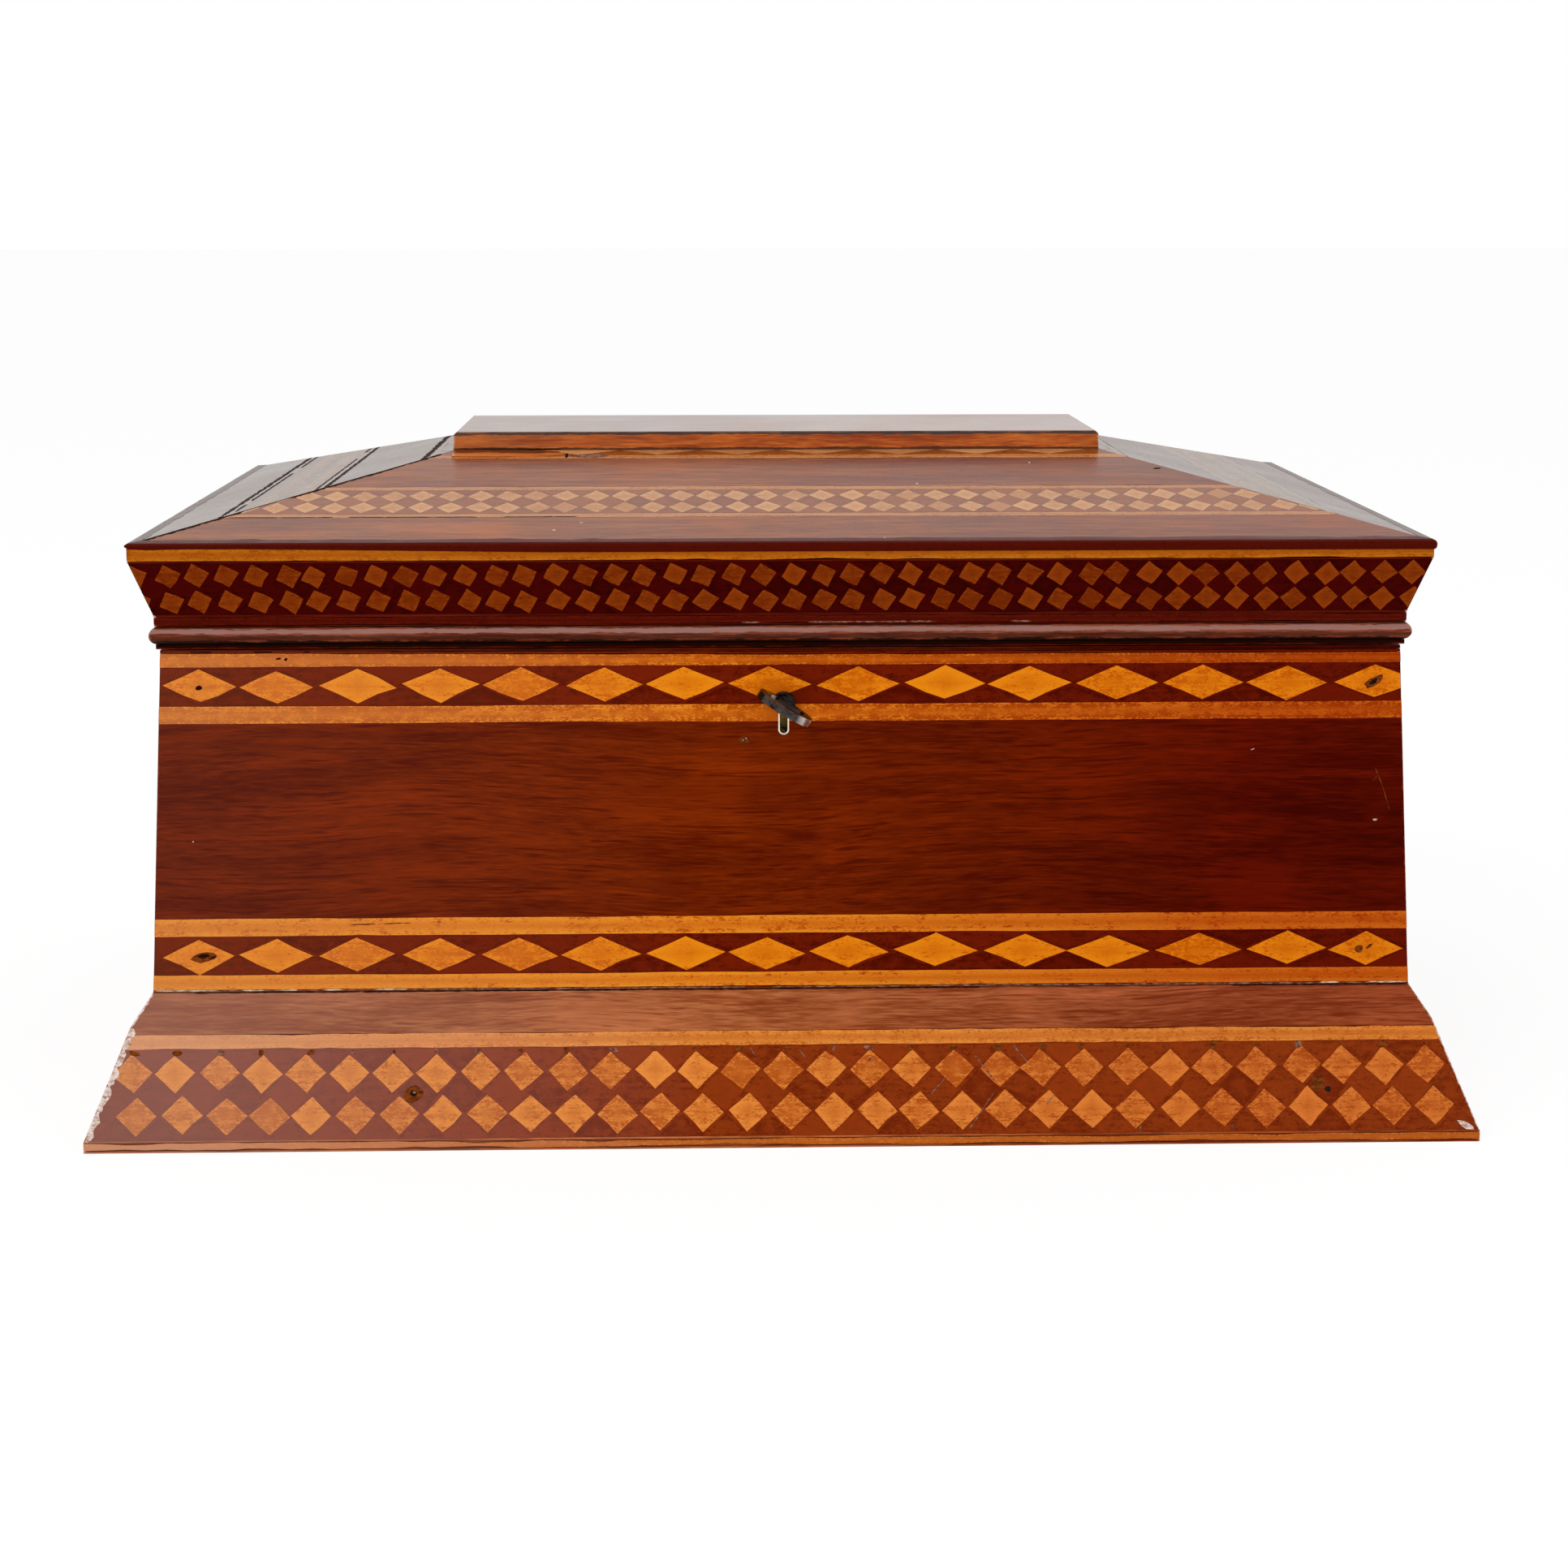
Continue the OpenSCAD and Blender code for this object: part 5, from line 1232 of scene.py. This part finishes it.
class BOX_OT_age_marks(bpy.types.Operator):
    """Lays on the plugs, stains, flecks, scratches, waxed seams and open joints of a long life, and a painted
    highlight along the fillet over the bead.
    """
    bl_idname = "box.age_marks"
    bl_label = "Lay on the marks of age"

    def execute(self, context):
        rng = random.Random(context.scene.box_inlay.seed + 5)
        body, plinth, slope = Face(0, BODY_LOW, BODY_TOP), Face(0, FOOT_TOP, BEVEL_LOW), Face(0, EAVE, CROWN)
        black, stain, grey, pale, bare, lid_black, lid_pale, lid_grey_wax_and_highlight = veneer_sets(8)
        for group, marks, high in ((stain, BODY_SMUDGES, 0.03), (black, BODY_PLUGS, 0.05),
                                   (pale, BODY_FLECKS, 0.05)):
            for mark in marks:
                patch(group, body, mark, rng, high)
        for ends, wide in (((-108.0, 16.5, -84.0, 17.0), 0.35), ((-80.0, 17.2, -73.0, 16.8), 0.3)):
            ragged_line(stain, body, ends, wide, rng, 0.03, 0.35, 4.0)
        for ends in BODY_SCRATCHES:
            ragged_line(stain, body, ends, 0.25, rng, 0.02)
        for group, marks, high in ((stain, PLINTH_SMUDGES, 0.03), (black, PLINTH_PLUGS, 0.05)):
            for mark in marks:
                patch(group, plinth, mark, rng, high)
        patch(grey, plinth, (-90.2, 11.7, 0.9, 0.8, 0), rng, 0.07)
        for ends in PLINTH_WAX:
            ragged_line(grey, plinth, ends, 0.4, rng, 0.05, 0.15, 3.0)
        self.filled_holes(grey, stain, rng)
        for face in faces(BODY_LOW, BODY_TOP):
            reach = face.half(0) - 0.3
            ragged_line(grey, face, (-reach, 0.25, reach, 0.25), 0.35, rng, 0.09, 0.2)
            ragged_line(pale, face, (-reach, 0.3, -reach * 0.6, 0.3), 0.3, rng, 0.12, 0.5, 4.0)
            ragged_line(pale, face, (reach * 0.86, 0.35, reach, 0.35), 0.45, rng, 0.13, 0.1, 5.0)
        for face in faces(BEVEL_LOW, BODY_LOW):
            reach = face.half(8.5) - 0.3
            ragged_line(black, face, (-reach, 8.75, reach, 8.75), 0.4, rng, 0.03, 0.3, 20.0)
        for edge_face, wide in ((plinth, 2.3), (Face(0, BEVEL_LOW, BODY_LOW), 0.7)):
            for sign, share in ((-1, 1.0), (1, 0.2)):
                ends = []
                for y in (0.2, edge_face.length - 0.2):
                    ends += [sign * (edge_face.half(y) - 0.3 * wide * share), y]
                ragged_line(bare, edge_face, ends, wide * share, rng, 0.05, 0.1, 5.0)
        patch(bare, plinth, (166.4, 1.6, 4.2, 1.5, -30), rng, 0.05)
        for group, marks in ((lid_black, SLOPE_PLUGS), (lid_pale, SLOPE_FLECKS)):
            for mark in marks:
                patch(group, slope, mark, rng, 0.05)
        # The groove over the fillet's worn piece, and the dirt where the rest of it broke away
        end = -slope.half(slope.length)
        ragged_line(lid_black, Face(0, CROWN, PLATE_TOP), (end + 0.3, 0.25, end + 28, 0.2), 0.4, rng, 0.08)
        patch(lid_black, slope, (end + 29.6, slope.length - 4.8, 0.9, 4.4, 0), rng, 0.05)
        patch(lid_grey_wax_and_highlight, slope, (end + 35.5, slope.length - 5.2, 11.0, 3.2, 0), rng, 0.04)
        self.open_joints(lid_black, lid_pale, lid_grey_wax_and_highlight, rng)
        black.build("seams_and_plugs_dark", "black", "box", "dark_veneer")
        stain.build("stains_brown", "stain", "box", "light_veneer")
        grey.build("wax_in_seams_grey", "grey", "box", "light_veneer")
        pale.build("wax_flecks_pale", "pale", "box", "light_veneer")
        bare.build("corners_rubbed_bare", "bare", "box", "mahogany")
        lid_black.build("lid_seams_and_plugs_dark", "black", "lid", "dark_veneer")
        lid_grey_wax_and_highlight.build("lid_wax_in_seams_grey", "grey", "lid", "light_veneer")
        lid_pale.build("lid_wax_flecks_pale", "pale", "lid", "light_veneer")
        return {"FINISHED"}

    def filled_holes(self, grey, stain, rng):
        """Filler between the points of the plinth's upper lozenges, some of it bloomed grey."""
        pitch = PLINTH_ROWS["pitch"]
        row_y, row_shift = PLINTH_ROWS["rows"][1]
        for face in faces(FOOT_TOP, BEVEL_LOW):
            count = int(2 * face.half(row_y) / pitch)
            for i in range(count):
                x = (i - (count - 1) / 2) * pitch + row_shift + rng.gauss(0, 0.8)
                tint = grey if rng.random() < 0.35 else stain
                mark = (x, 21.6, rng.uniform(0.8, 2.8), rng.uniform(0.8, 1.9), rng.gauss(0, 20))
                patch(tint, face, mark, rng, 0.04)

    def open_joints(self, black, pale, grey, rng):
        """Joints of the lid that have opened, at the left slope's strings and the front-left hip, and a
        painted highlight in grey along the fillet over the bead.
        """
        front, left = Face(0, EAVE, CROWN), Face(3, EAVE, CROWN)
        length = front.length
        for face, sign, wide, gaps in ((front, -1, 1.4, 0.08), (left, 1, 0.8, 0.2)):
            hip = []
            for y in (1.0, 70.0):
                hip += [sign * (face.half(y) - 0.35), y]
            ragged_line(black, face, hip, wide, rng, 0.05, gaps, 12.0)
        for y, wide, gaps in ((19.6, 1.8, 0.0), (22.0, 1.0, 0.2), (43.0, 1.5, 0.05), (40.6, 0.9, 0.3),
                              (length - CROWN_STRING[0], 2.0, 0.0)):
            reach = left.half(y) - 1
            ragged_line(black, left, (-reach, y, reach, y), wide, rng, 0.05, gaps, 16.0)
        ragged_line(black, front, (-front.half(19.6) + 2, 19.8, -50, 19.8), 0.3, rng, 0.05, 0.3, 9.0)
        # Painted highlight: a broken grey line along the fillet over the bead
        ragged_line(grey, Face(0, FILLET_LOW, COVE_LOW), (-10, 0.5, 60, 0.5), 0.4, rng, 0.05, 0.5, 9.0)
        ragged_line(pale, left, (-20, length - 5.8, 28, length - 5.8), 0.8, rng, 0.04, 0.4, 10.0)


class BOX_OT_stage(bpy.types.Operator):
    """Sets the floor, the lamps, the room's light and the camera."""
    bl_idname = "box.stage"
    bl_label = "Set the stage"

    def execute(self, context):
        scene = context.scene
        settings = scene.box_stage
        mesh = bpy.data.meshes.new("floor")
        reach = 12.0
        corners = [(-reach, -reach, 0), (reach, -reach, 0), (reach, reach, 0), (-reach, reach, 0)]
        mesh.from_pydata(corners, [], [(0, 1, 2, 3)])
        mesh.materials.append(white_card(settings))
        placed("floor", mesh)
        target = Vector((0, 0, 0.08))
        for name, place, power, width, depth in (
                ("key_lamp", (-0.9, -1.3, 1.5), settings.key_power, 1.2, 0.9),
                ("fill_lamp", (1.2, -1.5, 0.9), settings.fill_power, 1.0, 0.8)):
            data = bpy.data.lights.new(name, "AREA")
            data.shape = "RECTANGLE"
            data.size = width
            data.size_y = depth
            data.energy = power
            lamp = placed(name, data)
            lamp.location = place
            lamp.rotation_euler = (target - Vector(place)).to_track_quat("-Z", "Y").to_euler()
        world = bpy.data.worlds.new("room")
        world.use_nodes = True
        tree = world.node_tree
        tree.nodes.clear()
        strength = add(tree, "Math", seen(tree), 1.0 - settings.room, settings.room, operation="MULTIPLY_ADD")
        back = add(tree, "Background", {"Color": (1, 1, 1, 1), "Strength": strength})
        add(tree, "OutputWorld", back)
        scene.world = world
        scene.view_settings.view_transform = "Standard"
        yaw, pitch, roll = CAMERA_TURN
        across = Vector((math.cos(yaw), math.sin(yaw), 0))
        rise = Vector((-math.sin(yaw) * math.sin(pitch), math.cos(yaw) * math.sin(pitch), math.cos(pitch)))
        right = across * math.cos(roll) - rise * math.sin(roll)
        up = across * math.sin(roll) + rise * math.cos(roll)
        data = bpy.data.cameras.new("camera")
        data.sensor_width = 36
        data.lens = settings.lens
        data.clip_end = 60
        camera = placed("camera", data)
        turn = Matrix((right, up, right.cross(up))).transposed().to_4x4()
        camera.matrix_world = Matrix.Translation(CAMERA_PLACE) @ turn
        scene.camera = camera
        return {"FINISHED"}


class BOX_PT_panel(bpy.types.Panel):
    """Lists the sizes, colours and steps of the marquetry box."""
    bl_idname = "BOX_PT_panel"
    bl_label = "Marquetry box"
    bl_space_type = "VIEW_3D"
    bl_region_type = "UI"
    bl_category = "Marquetry"

    def draw(self, context):
        layout = self.layout
        for group, kind in GROUPS:
            part = layout.box()
            for key in kind.__annotations__:
                part.prop(getattr(context.scene, group), key)
        for step in STEPS:
            layout.operator(step.bl_idname)


GROUPS = (("box_inlay", InlaySettings), ("box_boards", BoardSettings), ("box_stage", StageSettings))
STEPS = (BOX_OT_boards, BOX_OT_hardware, BOX_OT_body_inlay, BOX_OT_plinth_inlay, BOX_OT_lid_side_inlay,
         BOX_OT_eave_nosing, BOX_OT_slope_inlay, BOX_OT_plate_fillet, BOX_OT_age_marks, BOX_OT_stage)


def register():
    for name, group in GROUPS:
        bpy.utils.register_class(group)
        setattr(bpy.types.Scene, name, bpy.props.PointerProperty(type=group))
    for kind in STEPS + (BOX_PT_panel,):
        bpy.utils.register_class(kind)


def unregister():
    for kind in (BOX_PT_panel,) + STEPS[::-1]:
        bpy.utils.unregister_class(kind)
    for name, group in GROUPS[::-1]:
        delattr(bpy.types.Scene, name)
        bpy.utils.unregister_class(group)


def main():
    register()
    bpy.ops.box.boards()
    bpy.ops.box.hardware()
    bpy.ops.box.body_inlay()
    bpy.ops.box.plinth_inlay()
    bpy.ops.box.lid_side_inlay()
    bpy.ops.box.eave_nosing()
    bpy.ops.box.slope_inlay()
    bpy.ops.box.plate_fillet()
    bpy.ops.box.age_marks()
    bpy.ops.box.stage()


if __name__ == "__main__":
    main()
